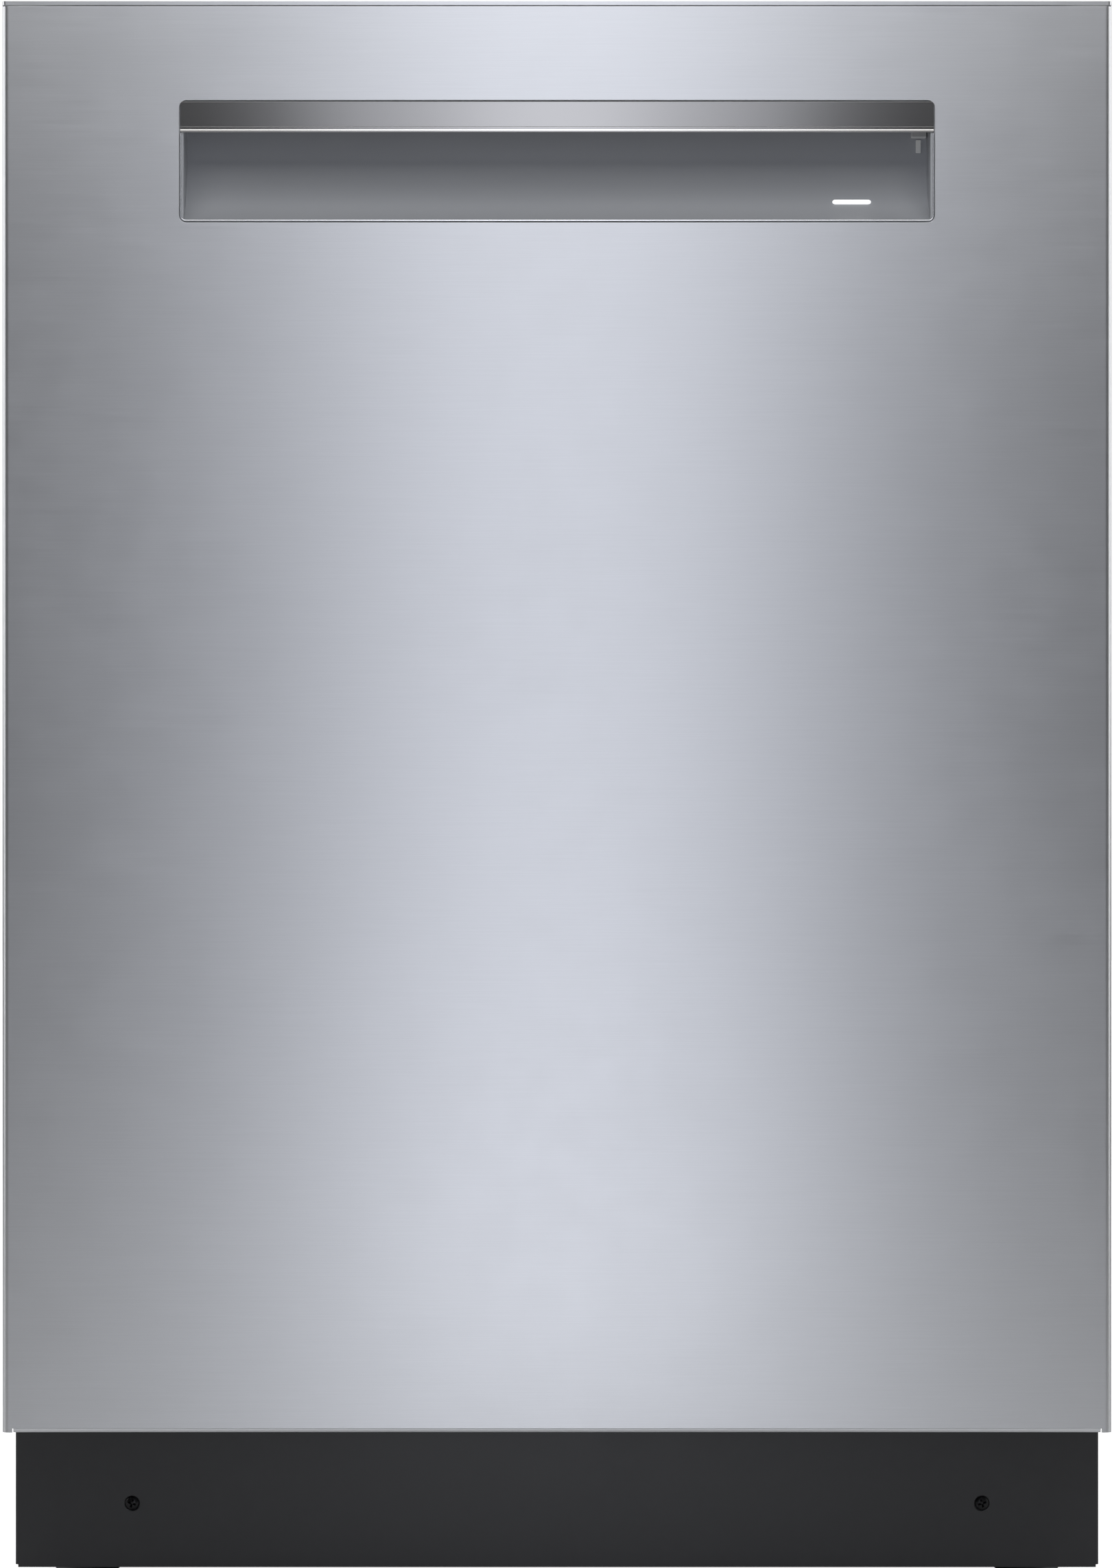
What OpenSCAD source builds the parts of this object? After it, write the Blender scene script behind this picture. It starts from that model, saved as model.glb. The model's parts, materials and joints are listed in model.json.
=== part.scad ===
// Built-in dishwasher with a pocket handle, hidden top controls and three racks.
// Millimetres. +X is right, -Y is the front, +Z is up, and the origin is the middle of
// the footprint, on the floor.

/* [Overall] */
// Width of the door
body_w = 598; // [560:1:640]
// Height from the floor to the top of the door
body_h = 860; // [820:1:900]
// Depth from the door's face to the rear wall of the base
body_d = 603; // [560:1:640]

/* [Door] */
// Thickness of the door
door_t = 60; // [56:1:66]
// Height of the door's lower edge above the floor
door_bottom = 89; // [84:1:100]
// Thickness of the steel outer panel
panel_t = 1.2; // [0.8:0.1:1.6]
// Outer radius of the panel's side folds
fold_r = 3.5; // [2:0.5:5]
// Depth of the panel's side flanges
fold_depth = 38; // [30:1:40]
// Depth of the panel's lower hem
hem_depth = 11; // [6:1:12]
// Thickness of the control fascia along the door's top
fascia_t = 2.1; // [1.8:0.1:3]
// Seam between the fascia and the panel
fascia_seam = 0.4; // [0.3:0.1:0.8]

/* [Pocket handle] */
// Width of the pocket's opening
grip_w = 407.2; // [340:1:460]
// Height of the pocket's opening
grip_h = 65.8; // [56:1:72]
// Distance from the door's top to the opening
grip_drop = 53.3; // [50:1:60]
// Corner radius of the opening
grip_r = 3.9; // [2:0.1:8]
// Depth of the pocket
grip_depth = 36; // [30:1:38]
// Height of the handle bar
bar_h = 16.2; // [12:0.1:20]
// Thickness of the handle bar
bar_t = 3.2; // [2.4:0.1:5]

/* [Kick plate] */
// Distance of the kick plate's ends inside the door's edges
kick_inset = 0.4; // [0:0.1:4]
// Gap between the floor and the kick plate
kick_gap = 6.8; // [4:0.2:10]
// Height of the kick plate
kick_h = 92; // [80:1:96]
// Distance of the kick plate behind the door's face
kick_setback = 79.5; // [76:0.5:90]
// Distance of the screws from the middle
kick_screw_x = 234.3; // [180:1:250]
// Radius of a screw head
kick_screw_r = 4; // [3:0.5:5]
// Height of the screws above the floor
kick_screw_z = 42; // [36:1:50]

/* [Tub] */
// Distance of the tub's sides inside the door's edges
tub_inset = 16; // [14:0.5:24]
// Thickness of the tub's steel
tub_t = 0.8; // [0.6:0.1:1.5]
// Height of the tub's floor
tub_floor_z = 152; // [148:1:160]
// Gap between the tub's roof and the door's top
tub_roof_drop = 24; // [20:1:40]
// Gap between the tub's back wall and the rear of the base
tub_rear_gap = 30; // [24:1:40]
// Thickness of the sound blanket
blanket_t = 6; // [4:1:7]
// Width of the wheel ledges
ledge_w = 29; // [24:1:32]
// Height of the wheel ledges above the tub's floor
ledge_h = 17; // [14:1:20]

/* [Hinge] */
// Distance of the hinge line behind the door's face
hinge_in = 45.5; // [42:0.5:48]
// Height of the hinge line above the door's lower edge
hinge_up = 16; // [14:1:18]
// Radius of the hinge pins
pin_r = 5; // [4:0.5:6]
// Radius of the hinge bracket's front end
bracket_r = 13; // [11:0.5:14]

/* [Racks] */
// Radius of the rack's frame wires
frame_r = 2.5; // [2:0.1:3]
// Radius of the rack's grid wires
wire_r = 1.75; // [1.2:0.05:2.2]
// Radius of the tines
tine_r = 1.5; // [1.2:0.1:2]
// Depth of the racks
rack_d = 440; // [400:5:450]
// Height of the lower rack
lower_rack_h = 122; // [100:2:140]
// Height of the upper rack
upper_rack_h = 112; // [90:2:130]
// Height of the third rack
third_rack_h = 34; // [28:1:50]
// Radius of the wheels
wheel_r = 18; // [15:0.5:20]
// Width of a wheel
wheel_w = 12; // [9:0.5:12]
// Radius of the wheel studs
stud_r = 4; // [3:0.5:5]

/* [Spray arms] */
// Half length of the lower arm
lower_arm_l = 224; // [200:1:225]
// Half length of the middle arm
middle_arm_l = 200; // [160:2:215]
// Width of an arm
arm_w = 46; // [36:1:54]
// Thickness of an arm
arm_t = 12; // [9:0.5:12]

/* [Feet] */
// Radius of a foot's pad
foot_r = 18; // [14:1:22]
// Radius of a foot's screw
foot_screw_r = 5; // [4:0.5:6]

/* [Fits] */
// Radial clearance of a turning or sliding fit
fit = 0.06; // [0.02:0.01:0.1]
// Gap between parts of one assembly
seam = 0.05; // [0.02:0.01:0.1]

/* [Hidden] */
$fn = 48;

// Main planes
y_face = -body_d / 2;
y_rear = body_d / 2;
y_liner = y_face + door_t;
door_x = body_w / 2;
hinge_y = y_face + hinge_in;
hinge_z = door_bottom + hinge_up;

// Tub
tub_x = door_x - tub_inset;
tub_in = tub_x - tub_t;
tub_y0 = y_liner + 4;
tub_y1 = y_rear - tub_rear_gap;
tub_z1 = body_h - tub_roof_drop;
ledge_z = tub_floor_z + tub_t + ledge_h;
flange_w = 8;
flange_z0 = tub_floor_z + 13;

// Base
base_x = tub_x + 7;
base_y0 = y_face + kick_setback + 22;
hinge_clear = base_x - 10;
base_z0 = 20;
base_t = 2.5;
base_top = base_z0 + base_t;
base_z1 = tub_floor_z - 2;
socket = 44;
socket_h = 40;
foot_x = base_x - 28;
foot_y = [base_y0 + 24, y_rear - 30];

// Sump and hub: the arms turn about (0, hub_y)
hub_y = 20;
sump_x = 90;
sump_y = [hub_y - 150, hub_y + 90];
cup_y = hub_y - 100;
cup_r = 36;
hub_r = 19;
pump_z = 92;

// Services: the conduit, the water inlet and the drain
conduit_x = base_x - 68;
conduit_z = 54;
drain_x = -sump_x - 70;
inlet_x = drain_x - 46;
inlet_z = 60;
drain_z = 66;

// Pocket handle
grip_x = grip_w / 2;
grip_z1 = body_h - grip_drop;
grip_z0 = grip_z1 - grip_h;
bar_seam = 0.5;
bar_z0 = grip_z1 - bar_seam - bar_h;
pocket_wall = 2;
pocket_up = 6;
scoop_front = y_face + panel_t + seam;
scoop_depth = grip_depth - 3;
scoop_low = grip_z0 + bar_seam;
scoop_rise = 36;
scoop_start = 24;

// Status light: distance from the middle, and height above the lip
light_at = [159, 10.7];

// Door strip
fascia_z0 = body_h - fascia_t;
button = [16, 9];
button_gap = 0.3;
button_y = y_face + 22;
button_x = [-150, -90, -50, 150];
button_foot = 14;
window = [96, 12];

// Lower rack
rack_y0 = y_liner + 36;
rack_y1 = min(rack_y0 + rack_d, tub_y1 - 31);
layer = 2 * wire_r + seam;
lower_x = tub_in - 37;
lower_z = ledge_z + 30;
wheel_z = ledge_z + wheel_r + 0.3;
wheel_y = [rack_y0 + 111, rack_y1 - 45];
wheel_gap = 13;
stud_head = 3;

// Cutlery basket
cutlery = [78, 360, 112];
cutlery_x = lower_x - 92;
cutlery_y = rack_y0 + 28;
cutlery_t = 1.6;

// Upper rack and its slides
upper_z = tub_z1 - 354;
slide_z = [upper_z + 70, upper_z + 92];
slide_t = 6;
slide_gap = 0.5;
upper_x = tub_in - 41;
third_z = tub_z1 - 116;
third_x = tub_in - 18;
shelf_y = [rack_y0 + 30, rack_y1 - 60];
shelf_w = 95;
shelf_z = upper_z + 62;

// Dispenser
dispenser_x = [-95, 95];
dispenser_z = [hinge_z + 325, hinge_z + 487];
cup_box = [-82, 10, dispenser_z[0] + 12, dispenser_z[0] + 78];
lid_travel = 72;
lid_t = 2.4;
cap_at = [56, dispenser_z[0] + 45];
cap_r = 17;
proud = 3;

// Latch
latch_x = 30;
latch_z = [tub_z1 - 20.8, tub_z1 + 10];
strike_w = 9;
strike_z = [tub_z1 - 15.5, tub_z1 - 12];
hook_z = tub_z1 - 3.5;

// Springs
spring_x = tub_x + 1;
spring_y = y_face + kick_setback + 10.5;
spring_z = [32, 84];
spring_r = 6;
lever = [spring_y - hinge_y - 2.5, -6];
arm_in = [25.5, 5.5];

module span(x, y, z) {
    translate([x[0], y[0], z[0]]) cube([x[1] - x[0], y[1] - y[0], z[1] - z[0]]);
}

module both() {
    children();
    mirror([1, 0, 0]) children();
}

module along_x(x, y, z, r) {
    translate([x[0], y, z]) rotate([0, 90, 0]) cylinder(r = r, h = x[1] - x[0]);
}

module along_y(x, y, z, r) {
    translate([x, y[1], z]) rotate([90, 0, 0]) cylinder(r = r, h = y[1] - y[0]);
}

module along_z(x, y, z, r) {
    translate([x, y, z[0]]) cylinder(r = r, h = z[1] - z[0]);
}

// Pushes a (y, z) outline from x[0] to x[1]
module push_x(x) {
    translate([x[0], 0, 0]) rotate([90, 0, 90]) linear_extrude(x[1] - x[0]) children();
}

// Pushes an (x, z) outline from y[0] to y[1]
module push_y(y) {
    translate([0, y[1], 0]) rotate([90, 0, 0]) linear_extrude(y[1] - y[0]) children();
}

// Rounded rectangle between two corners
module soft_rect(x, z, r) {
    translate([x[0] + r, z[0]]) square([x[1] - x[0] - 2 * r, z[1] - z[0]]);
    translate([x[0], z[0] + r]) square([x[1] - x[0], z[1] - z[0] - 2 * r]);
    for (i = [0, 1], j = [0, 1])
        translate([x[i] + (1 - 2 * i) * r, z[j] + (1 - 2 * j) * r]) circle(r);
}

// Even steps from a to b, both ends included
function steps(a, b, n) = [for (i = [0 : n - 1]) a + (b - a) * i / (n - 1)];

// ---- Cabinet ----

module foot_bores() {
    for (y = foot_y) translate([foot_x, y, base_z0 - 1])
        cylinder(r = foot_screw_r + fit, h = socket_h + 10);
}

module base_pan() {
    wall = [base_top + seam, base_z1];
    lug = 12;
    color("dimgray") {
        difference() {
            span([-base_x, base_x], [base_y0, y_rear], [base_z0, base_top]);
            both() foot_bores();
        }
        both() {
            span([base_x - base_t, base_x], [base_y0, y_rear], wall);
            difference() {
                for (y = foot_y)
                    span([foot_x - socket / 2, base_x - base_t - seam],
                        [y - 22, y + 22], [wall[0], wall[0] + socket_h]);
                foot_bores();
            }
            difference() {
                span([kick_screw_x - lug, kick_screw_x + lug],
                    [y_face + kick_setback + panel_t + seam, base_y0 - seam], [kick_screw_z - lug, kick_screw_z + lug]);
                along_y(kick_screw_x, [y_face, base_y0], kick_screw_z, 2.7);
            }
        }
        span([-base_x + base_t + seam, base_x - base_t - seam],
            [base_y0, base_y0 + base_t - 1], [wall[0], 110]);
        span([-base_x + base_t + seam, inlet_x - 22], [y_rear - 2, y_rear], wall);
        span([drain_x + 30, conduit_x - 17], [y_rear - 2, y_rear], wall);
        span([conduit_x + 17, base_x - base_t - seam], [y_rear - 2, y_rear], wall);
    }
}

module tub_wrapper() {
    color("silver") {
        both() {
            span([tub_in, tub_x], [tub_y0 + 1.2, tub_y1], [tub_floor_z, tub_z1 - tub_t - seam]);
            span([tub_in, tub_x + flange_w], [tub_y0, tub_y0 + 1.2 - seam],
                [flange_z0, tub_z1 - tub_t - seam]);
        }
        span([-tub_x, tub_x], [tub_y0 + 1.2, tub_y1], [tub_z1 - tub_t, tub_z1]);
        span([-tub_x - flange_w, tub_x + flange_w], [tub_y0, tub_y0 + 1.2 - seam],
            [tub_z1 - tub_t, tub_z1 + flange_w]);
    }
}

module tub_back_wall() {
    color("silver")
        span([-tub_x, tub_x], [tub_y1 + seam, tub_y1 + tub_t], [tub_floor_z, tub_z1]);
}

module tub_floor() {
    x = tub_in - seam;
    z = [tub_floor_z, tub_floor_z + tub_t];
    up = [z[1] + seam, ledge_z];
    color("silver") {
        both() {
            span([sump_x, x], [tub_y0, tub_y1], z);
            span([x - ledge_w, x], [tub_y0 + 6, tub_y1 - 2], up);
        }
        span([-sump_x + seam, sump_x - seam], [tub_y0, sump_y[0]], z);
        span([-sump_x + seam, sump_x - seam], [sump_y[1], tub_y1], z);
        span([-x, x], [tub_y0, tub_y0 + 5], [up[0], up[1] - 4]);
    }
}

module door_seal() {
    seal = [y_liner + 0.4, tub_y0 - seam];
    side = tub_x - 1;
    w = 7;
    color("black") {
        both() span([side, side + w], seal, [flange_z0, tub_z1 - w - seam]);
        span([-side - w, side + w], seal, [tub_z1 - w, tub_z1]);
        span([-side - w, side + w], seal, [flange_z0 - w, flange_z0 - seam]);
    }
}

module sound_blanket() {
    color("darkslategray") {
        both() span([tub_x + seam, tub_x + blanket_t], [tub_y0 + 14, tub_y1 - 2],
            [tub_floor_z + 8, tub_z1 - 4]);
        span([-tub_x, tub_x], [tub_y0 + 46, tub_y1 - 2], [tub_z1 + seam, tub_z1 + blanket_t]);
        span([-tub_in, tub_in], [tub_y1 + tub_t + seam, tub_y1 + tub_t + blanket_t],
            [tub_floor_z + 8, tub_z1 - 4]);
    }
}

module top_brackets() {
    t = 1.6;
    y = [tub_y0 + 3, tub_y0 + 40];
    z = [tub_z1 + seam, body_h - 4];
    color("gray") both() difference() {
        union() {
            span([205, 245], y, [z[0], z[0] + t]);
            span([205, 245], [y[1] - t, y[1]], z);
            span([205, 245], y, [z[1] - t, z[1]]);
        }
        along_z(225, y[0] + 14, [z[0] - 1, z[1] + 1], 2.6);
    }
}

module kick_plate() {
    y = [y_face + kick_setback, y_face + kick_setback + panel_t];
    x = door_x - kick_inset;
    z = [kick_gap, kick_gap + kick_h];
    notch = 1.5;
    color([0.08, 0.08, 0.085]) difference() {
        union() {
            span([-x + notch, x - notch], y, z);
            both() span([x - panel_t, x], [y[0] + 0.4, y[0] + 14], [z[0] + notch, z[1]]);
            both() span([x - 2, x - 0.4], [y[0], y[1]], [z[0] + notch, z[1]]);
            span([-x + 30, x - 30], [y[0], y[0] + 9], [z[1] - panel_t, z[1]]);
        }
        both() along_y(kick_screw_x, [y[0] - 1, y[1] + 1], kick_screw_z, 2.7);
        both() span([hinge_clear, x + 1], [y[0] - 1, y[0] + 20],
            [hinge_z - bracket_r - 2, z[1] + 1]);
    }
}

module kick_screws() {
    y = y_face + kick_setback;
    slot = 0.9;
    color("black") both() difference() {
        union() {
            along_y(kick_screw_x, [y - 1.8, y - seam], kick_screw_z, kick_screw_r);
            along_y(kick_screw_x, [y - seam, base_y0 - 2], kick_screw_z, 2.5);
        }
        translate([kick_screw_x, y - 1.4, kick_screw_z]) for (a = [0, 90]) rotate([0, a, 0])
            cube([slot, 1.4, 4.6], center = true);
    }
}

module hinge_brackets() {
    plate = [base_x + seam, base_x + 2.4];
    color("gray") both() {
        push_x(plate) {
            translate([hinge_y, hinge_z]) circle(bracket_r);
            translate([hinge_y, hinge_z - bracket_r])
                square([base_y0 + 50 - hinge_y, 2 * bracket_r]);
        }
        along_x([base_x - 6.4, base_x + seam], hinge_y, hinge_z, pin_r);
        along_x([base_x - 8, base_x - 6.4], hinge_y, hinge_z, pin_r + 2);
    }
}

module door_springs() {
    color("lightgray") both() difference() {
        along_z(spring_x, spring_y, spring_z, spring_r);
        along_z(spring_x, spring_y, [spring_z[0] + 2, spring_z[1] + 1], spring_r - 1.6);
    }
}

module spring_rods() {
    eye_z = hinge_z + lever[1];
    color("gray") both() {
        push_x([spring_x - 2.6, spring_x + 0.2]) difference() {
            union() {
                translate([spring_y, eye_z]) circle(5.5);
                translate([spring_y - 3, spring_z[1] + 0.4]) square([6, eye_z - spring_z[1]]);
            }
            translate([spring_y, eye_z]) circle(2.5);
        }
    }
}

module junction_box() {
    x = [conduit_x - 54, conduit_x + 16];
    y = [base_y0 + 6, base_y0 + 80];
    z = [base_top + seam, conduit_z + 30];
    t = 1.6;
    color("gray") difference() {
        span(x, y, z);
        span([x[0] + t, x[1] - t], [y[0] + t, y[1] - t], [z[0] + t, z[1] - t]);
        along_y(conduit_x, [y[1] - t - 1, y[1] + 1], conduit_z, 11.1);
    }
}

module inlet_valve() {
    color("white") {
        top = inlet_z + 24;
        span([inlet_x - 19, inlet_x + 19], [y_rear - 62, y_rear - 22 - seam],
            [base_top + seam, top]);
        along_y(inlet_x, [y_rear - 22, y_rear - 1], inlet_z, 13.2);
        along_z(inlet_x, y_rear - 42, [top + seam, top + 34], 13);
    }
}

module drain_spigot() {
    color("dimgray") {
        span([drain_x - 22, drain_x + 22], [y_rear - 26, y_rear - 22 - seam],
            [base_top + seam, drain_z + 26]);
        along_y(drain_x, [y_rear - 22, y_rear - 1], drain_z, 10);
    }
}

module sump() {
    t = 3;
    x = sump_x - 4;
    y = [sump_y[0] + 4, sump_y[1] - 4];
    z = [58, tub_floor_z - seam];
    color([0.2, 0.2, 0.22]) {
        difference() {
            union() {
                span([-x, x], y, z);
                span([-x - 12, x + 12], [y[0] - 12, y[1] + 12], [z[1] - 3, z[1]]);
            }
            span([-x + t, x - t], [y[0] + t, y[1] - t], [z[0] + t, z[1] + 1]);
        }
    }
}

module circulation_pump() {
    x0 = sump_x - 4 + seam;
    color("silver") {
        along_x([x0, x0 + 26], hub_y, pump_z, 46);
        along_x([x0 + 26 + seam, x0 + 118], hub_y, pump_z, 38);
        span([x0 + 40, x0 + 84], [hub_y + 40, hub_y + 62], [pump_z - 22, pump_z + 22]);
    }
}

module drain_pump() {
    x0 = -sump_x + 4 - seam;
    color("dimgray") {
        along_x([x0 - 24, x0], cup_y + 20, pump_z - 12, 30);
        along_x([x0 - 84, x0 - 24 - seam], cup_y + 20, pump_z - 12, 22);
    }
}

module internal_hoses() {
    hose = 9;
    bend_r = 30;
    rear = tub_y1 - 13;
    side = sump_x + 9;
    color([0.12, 0.12, 0.13]) {
        along_y(drain_x, [cup_y + 42.4, y_rear - 26 - seam], drain_z, hose);
        along_y(side, [hub_y + 46.4, rear - bend_r], pump_z, hose);
        translate([side - bend_r, rear - bend_r, pump_z]) rotate_extrude(angle = 90)
            translate([bend_r, 0]) circle(hose);
        along_x([0, side - bend_r], rear, pump_z, hose);
        translate([0, rear, pump_z]) sphere(hose);
        along_z(0, rear, [pump_z, tub_floor_z - seam], hose);
    }
}

module filter_plate() {
    z = [tub_floor_z + tub_t + seam, tub_floor_z + 3];
    x = sump_x + 4;
    color("silver") difference() {
        span([-x, x], [sump_y[0] - 4, sump_y[1] + 4], z);
        along_z(0, cup_y, [z[0] - 1, z[1] + 1], cup_r + 0.8);
        along_z(0, hub_y, [z[0] - 1, z[1] + 1], hub_r + 1);
    }
}

module filter_cup() {
    z = [96, tub_floor_z + 4];
    color([0.75, 0.76, 0.78]) {
        difference() {
            along_z(0, cup_y, z, cup_r);
            along_z(0, cup_y, [z[0] + 2, z[1] + 1], cup_r - 2);
        }
        span([-cup_r + 2.4, cup_r - 2.4], [cup_y - 3, cup_y + 3], [z[1] - 14, z[1] + 8]);
    }
}

module lower_arm_hub() {
    z = tub_floor_z + 22;
    color("dimgray") {
        along_z(0, hub_y, [tub_floor_z - 20, z - 4], hub_r);
        along_z(0, hub_y, [z - 4, z + arm_t + 4], 9);
        along_z(0, hub_y, [z + arm_t + 4, z + arm_t + 7], 13);
    }
}

module feed_tube() {
    y = tub_y1 - 13;
    z = tub_z1 - 20;
    turn = 20;
    tube = 9;
    color([0.25, 0.26, 0.28]) {
        along_z(0, y, [tub_floor_z + tub_t + 1, z - turn], tube);
        translate([0, y - turn, z - turn]) rotate([90, 0, 90])
            rotate_extrude(angle = 90) translate([turn, 0]) circle(tube);
        along_y(0, [hub_y, y - turn], z, tube);
        along_z(0, hub_y, [z - 16, z + 6], 26);
    }
}

module rail_bar(inner, t, z, y) {
    both() span([inner, inner + t], y, z);
}

module slide_rails() {
    y = [tub_y0 + 18, tub_y1 - 14];
    color("gray") {
        rail_bar(tub_in - seam - slide_t - 1, slide_t + 1, slide_z, y);
        rail_bar(tub_in - seam - slide_t - 1, slide_t + 1, [third_z + 2, third_z + 20], y);
    }
}

module door_strike() {
    y = [y_liner - 20, tub_y0 + 30];
    color("silver") difference() {
        span([-strike_w, strike_w], y, strike_z);
        along_z(0, y[0] + 9, [strike_z[0] - 1, strike_z[1] + 1], 4.6);
    }
    color("silver") span([-strike_w - 8, strike_w + 8], [tub_y0 + 10, tub_y0 + 30],
        [strike_z[1] + seam, tub_z1 - tub_t - seam]);
}

module foot(x, y) {
    color([0.15, 0.15, 0.15]) {
        along_z(x, y, [0, 5], foot_r);
        along_z(x, y, [5, 13], 9);
        along_z(x, y, [13, base_z0 + socket_h], foot_screw_r);
    }
}

module foot_front_left() foot(-foot_x, foot_y[0]);
module foot_front_right() foot(foot_x, foot_y[0]);
module feet_rear() for (s = [-1, 1]) foot(s * foot_x, foot_y[1]);

// ---- Door ----

module outer_panel() {
    z = [door_bottom, fascia_z0 - fascia_seam];
    x = door_x;
    r = fold_r;
    inner = fold_r - panel_t;
    y1 = y_face + fold_depth;
    color([0.76, 0.78, 0.83]) difference() {
        translate([0, 0, z[0]]) linear_extrude(z[1] - z[0]) difference() {
            union() {
                translate([-x + r, y_face]) square([2 * (x - r), fold_depth]);
                translate([-x, y_face + r]) square([2 * x, fold_depth - r]);
                for (s = [-1, 1]) translate([s * (x - r), y_face + r]) circle(r);
            }
            translate([-x + r, y_face + panel_t]) square([2 * (x - r), fold_depth]);
            translate([-x + panel_t, y_face + r]) square([2 * (x - panel_t), fold_depth]);
            for (s = [-1, 1]) translate([s * (x - r), y_face + r]) circle(inner);
        }
        push_y([y_face - 1, y_face + panel_t + 1])
            soft_rect([-grip_x, grip_x], [grip_z0, grip_z1], grip_r);
    }
    color([0.76, 0.78, 0.83]) span([-x + 5, x - 5], [y_face + panel_t + seam, y_face + hem_depth],
        [z[0], z[0] + panel_t]);
}

module handle_bar() {
    x = grip_x - bar_seam;
    z = [bar_z0, grip_z1 - bar_seam];
    lip = bar_t / 2;
    color([0.8, 0.81, 0.84]) push_x([-x, x]) {
        translate([y_face + 0.2, z[0] + lip]) square([bar_t, z[1] - z[0] - lip]);
        translate([y_face + 0.2 + lip, z[0] + lip]) circle(lip);
    }
}

// The hollow seen from the side: open at the front, deep behind the bar, and swept forward
// to the lower lip as part of an ellipse
function scoop_angle(h) = acos(cos(scoop_start) * (1 - h / scoop_rise));
function scoop_y(a) = scoop_front + scoop_depth * (sin(a) - sin(scoop_start)) / (1 - sin(scoop_start));
function scoop_z(a) = scoop_low + scoop_rise * (1 - cos(a) / cos(scoop_start));

module pocket_hollow() {
    high = grip_z1 + pocket_up;
    polygon(concat(
        [[scoop_front - 1, high], [scoop_front - 1, scoop_low]],
        [for (i = [0 : 18]) let (a = scoop_start + (90 - scoop_start) * i / 18) [scoop_y(a), scoop_z(a)]],
        [[scoop_front + scoop_depth, high]]));
}

module handle_pocket() {
    front = y_face + panel_t + seam;
    back = front + grip_depth;
    outer_x = grip_x + pocket_wall;
    z = [grip_z0 - pocket_wall, grip_z1 + pocket_up + pocket_wall];
    color([0.55, 0.57, 0.6]) {
        difference() {
            span([-outer_x, outer_x], [front, back], z);
            push_x([-grip_x + bar_seam, grip_x - bar_seam]) pocket_hollow();
        }
    }
}

module status_light() {
    size = [20.7, 3];
    thick = 0.9;
    a = scoop_angle(light_at[1]);
    slope = atan2(scoop_rise * sin(a) / cos(scoop_start), scoop_depth * cos(a) / (1 - sin(scoop_start)));
    color("white") translate([light_at[0], scoop_y(a), scoop_z(a)]) rotate([slope, 0, 0])
        translate([0, 0, 0.15]) linear_extrude(thick)
            soft_rect([-size[0] / 2, size[0] / 2], [-size[1] / 2, size[1] / 2], size[1] / 2 - 0.01);
}

module button_outline(x, gap) {
    soft_rect([x - button[0] / 2 - gap, x + button[0] / 2 + gap],
        [button_y - button[1] / 2 - gap, button_y + button[1] / 2 + gap], 2 + gap);
}

module window_outline(gap) {
    soft_rect([-window[0] / 2 + 50 - gap, window[0] / 2 + 50 + gap],
        [button_y - window[1] / 2 - gap, button_y + window[1] / 2 + gap], 2 + gap);
}

module control_fascia() {
    color([0.76, 0.78, 0.83]) translate([0, 0, fascia_z0]) linear_extrude(fascia_t)
        difference() {
            soft_rect([-door_x, door_x], [y_face, y_liner - 1], fascia_t);
            for (x = button_x) button_outline(x, button_gap);
            window_outline(seam);
        }
}

module display_window() {
    color([0.05, 0.05, 0.06]) translate([0, 0, fascia_z0 - 0.6])
        linear_extrude(fascia_t + 0.5) window_outline(0);
}

module inner_liner() {
    x = door_x - 17;
    z = [door_bottom + 34, fascia_z0 - seam];
    rim = 20;
    t = 1.2;
    color("silver") difference() {
        span([-x, x], [y_liner - rim, y_liner], z);
        span([-x + t, x - t], [y_liner - rim - 1, y_liner - t], [z[0] + t, z[1] + 1]);
        push_y([y_liner - 5, y_liner + 1])
            soft_rect([dispenser_x[0] + 4, dispenser_x[1] - 4],
                [dispenser_z[0] + 4, dispenser_z[1] - 4], 4);
        span([-strike_w - 3, strike_w + 3], [y_liner - 5, y_liner + 1],
            [strike_z[0] - 3, strike_z[1] + 5]);
    }
}

module door_insulation() {
    color("darkslategray") span([-door_x + 24, door_x - 24], [y_face + 10, y_face + 34],
        [door_bottom + 40, grip_z0 - 14]);
}

module control_board() {
    y = [y_face + 8, y_liner - 26];
    z = body_h - 28;
    color("darkgreen") {
        span([-180, 180], y, [z, z + 1.6]);
        for (x = [-120, 20, 90]) span([x, x + 24], [y[0] + 6, y[1] - 6], [z - 6, z - seam]);
    }
}

module dispenser_body() {
    y = [y_liner - 24, y_liner + proud];
    color([0.3, 0.31, 0.33]) difference() {
        union() {
            span([dispenser_x[0], dispenser_x[1]], [y_liner + seam, y[1]], dispenser_z);
            span([dispenser_x[0] + 5, dispenser_x[1] - 5], [y[0], y_liner + seam],
                [dispenser_z[0] + 5, dispenser_z[1] - 5]);
        }
        span([cup_box[0], cup_box[1]], [y[0] + 3, y[1] + 1], [cup_box[2], cup_box[3]]);
        along_y(cap_at[0], [y[0] + 4, y[1] + 1], cap_at[1], cap_r - 3);
    }
}

module dispenser_lid() {
    y = y_liner + proud + 0.4;
    color([0.55, 0.56, 0.58]) {
        push_y([y, y + lid_t]) soft_rect([cup_box[0] - 3, cup_box[1] + 3],
            [cup_box[2] - 3, cup_box[3] + 3], 5);
        span([cup_box[0] + 18, cup_box[1] - 18], [y + lid_t, y + lid_t + 2],
            [cup_box[2] + 6, cup_box[2] + 10]);
    }
}

module rinse_aid_cap() {
    y = y_liner + proud + 0.4;
    color([0.2, 0.35, 0.55]) {
        along_y(cap_at[0], [y, y + 2.4], cap_at[1], cap_r);
        along_y(cap_at[0], [y_liner - 12, y], cap_at[1], cap_r - 3 - fit);
        span([cap_at[0] - 12, cap_at[0] + 12], [y + 2.4, y + 5], [cap_at[1] - 2, cap_at[1] + 2]);
    }
}

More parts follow.
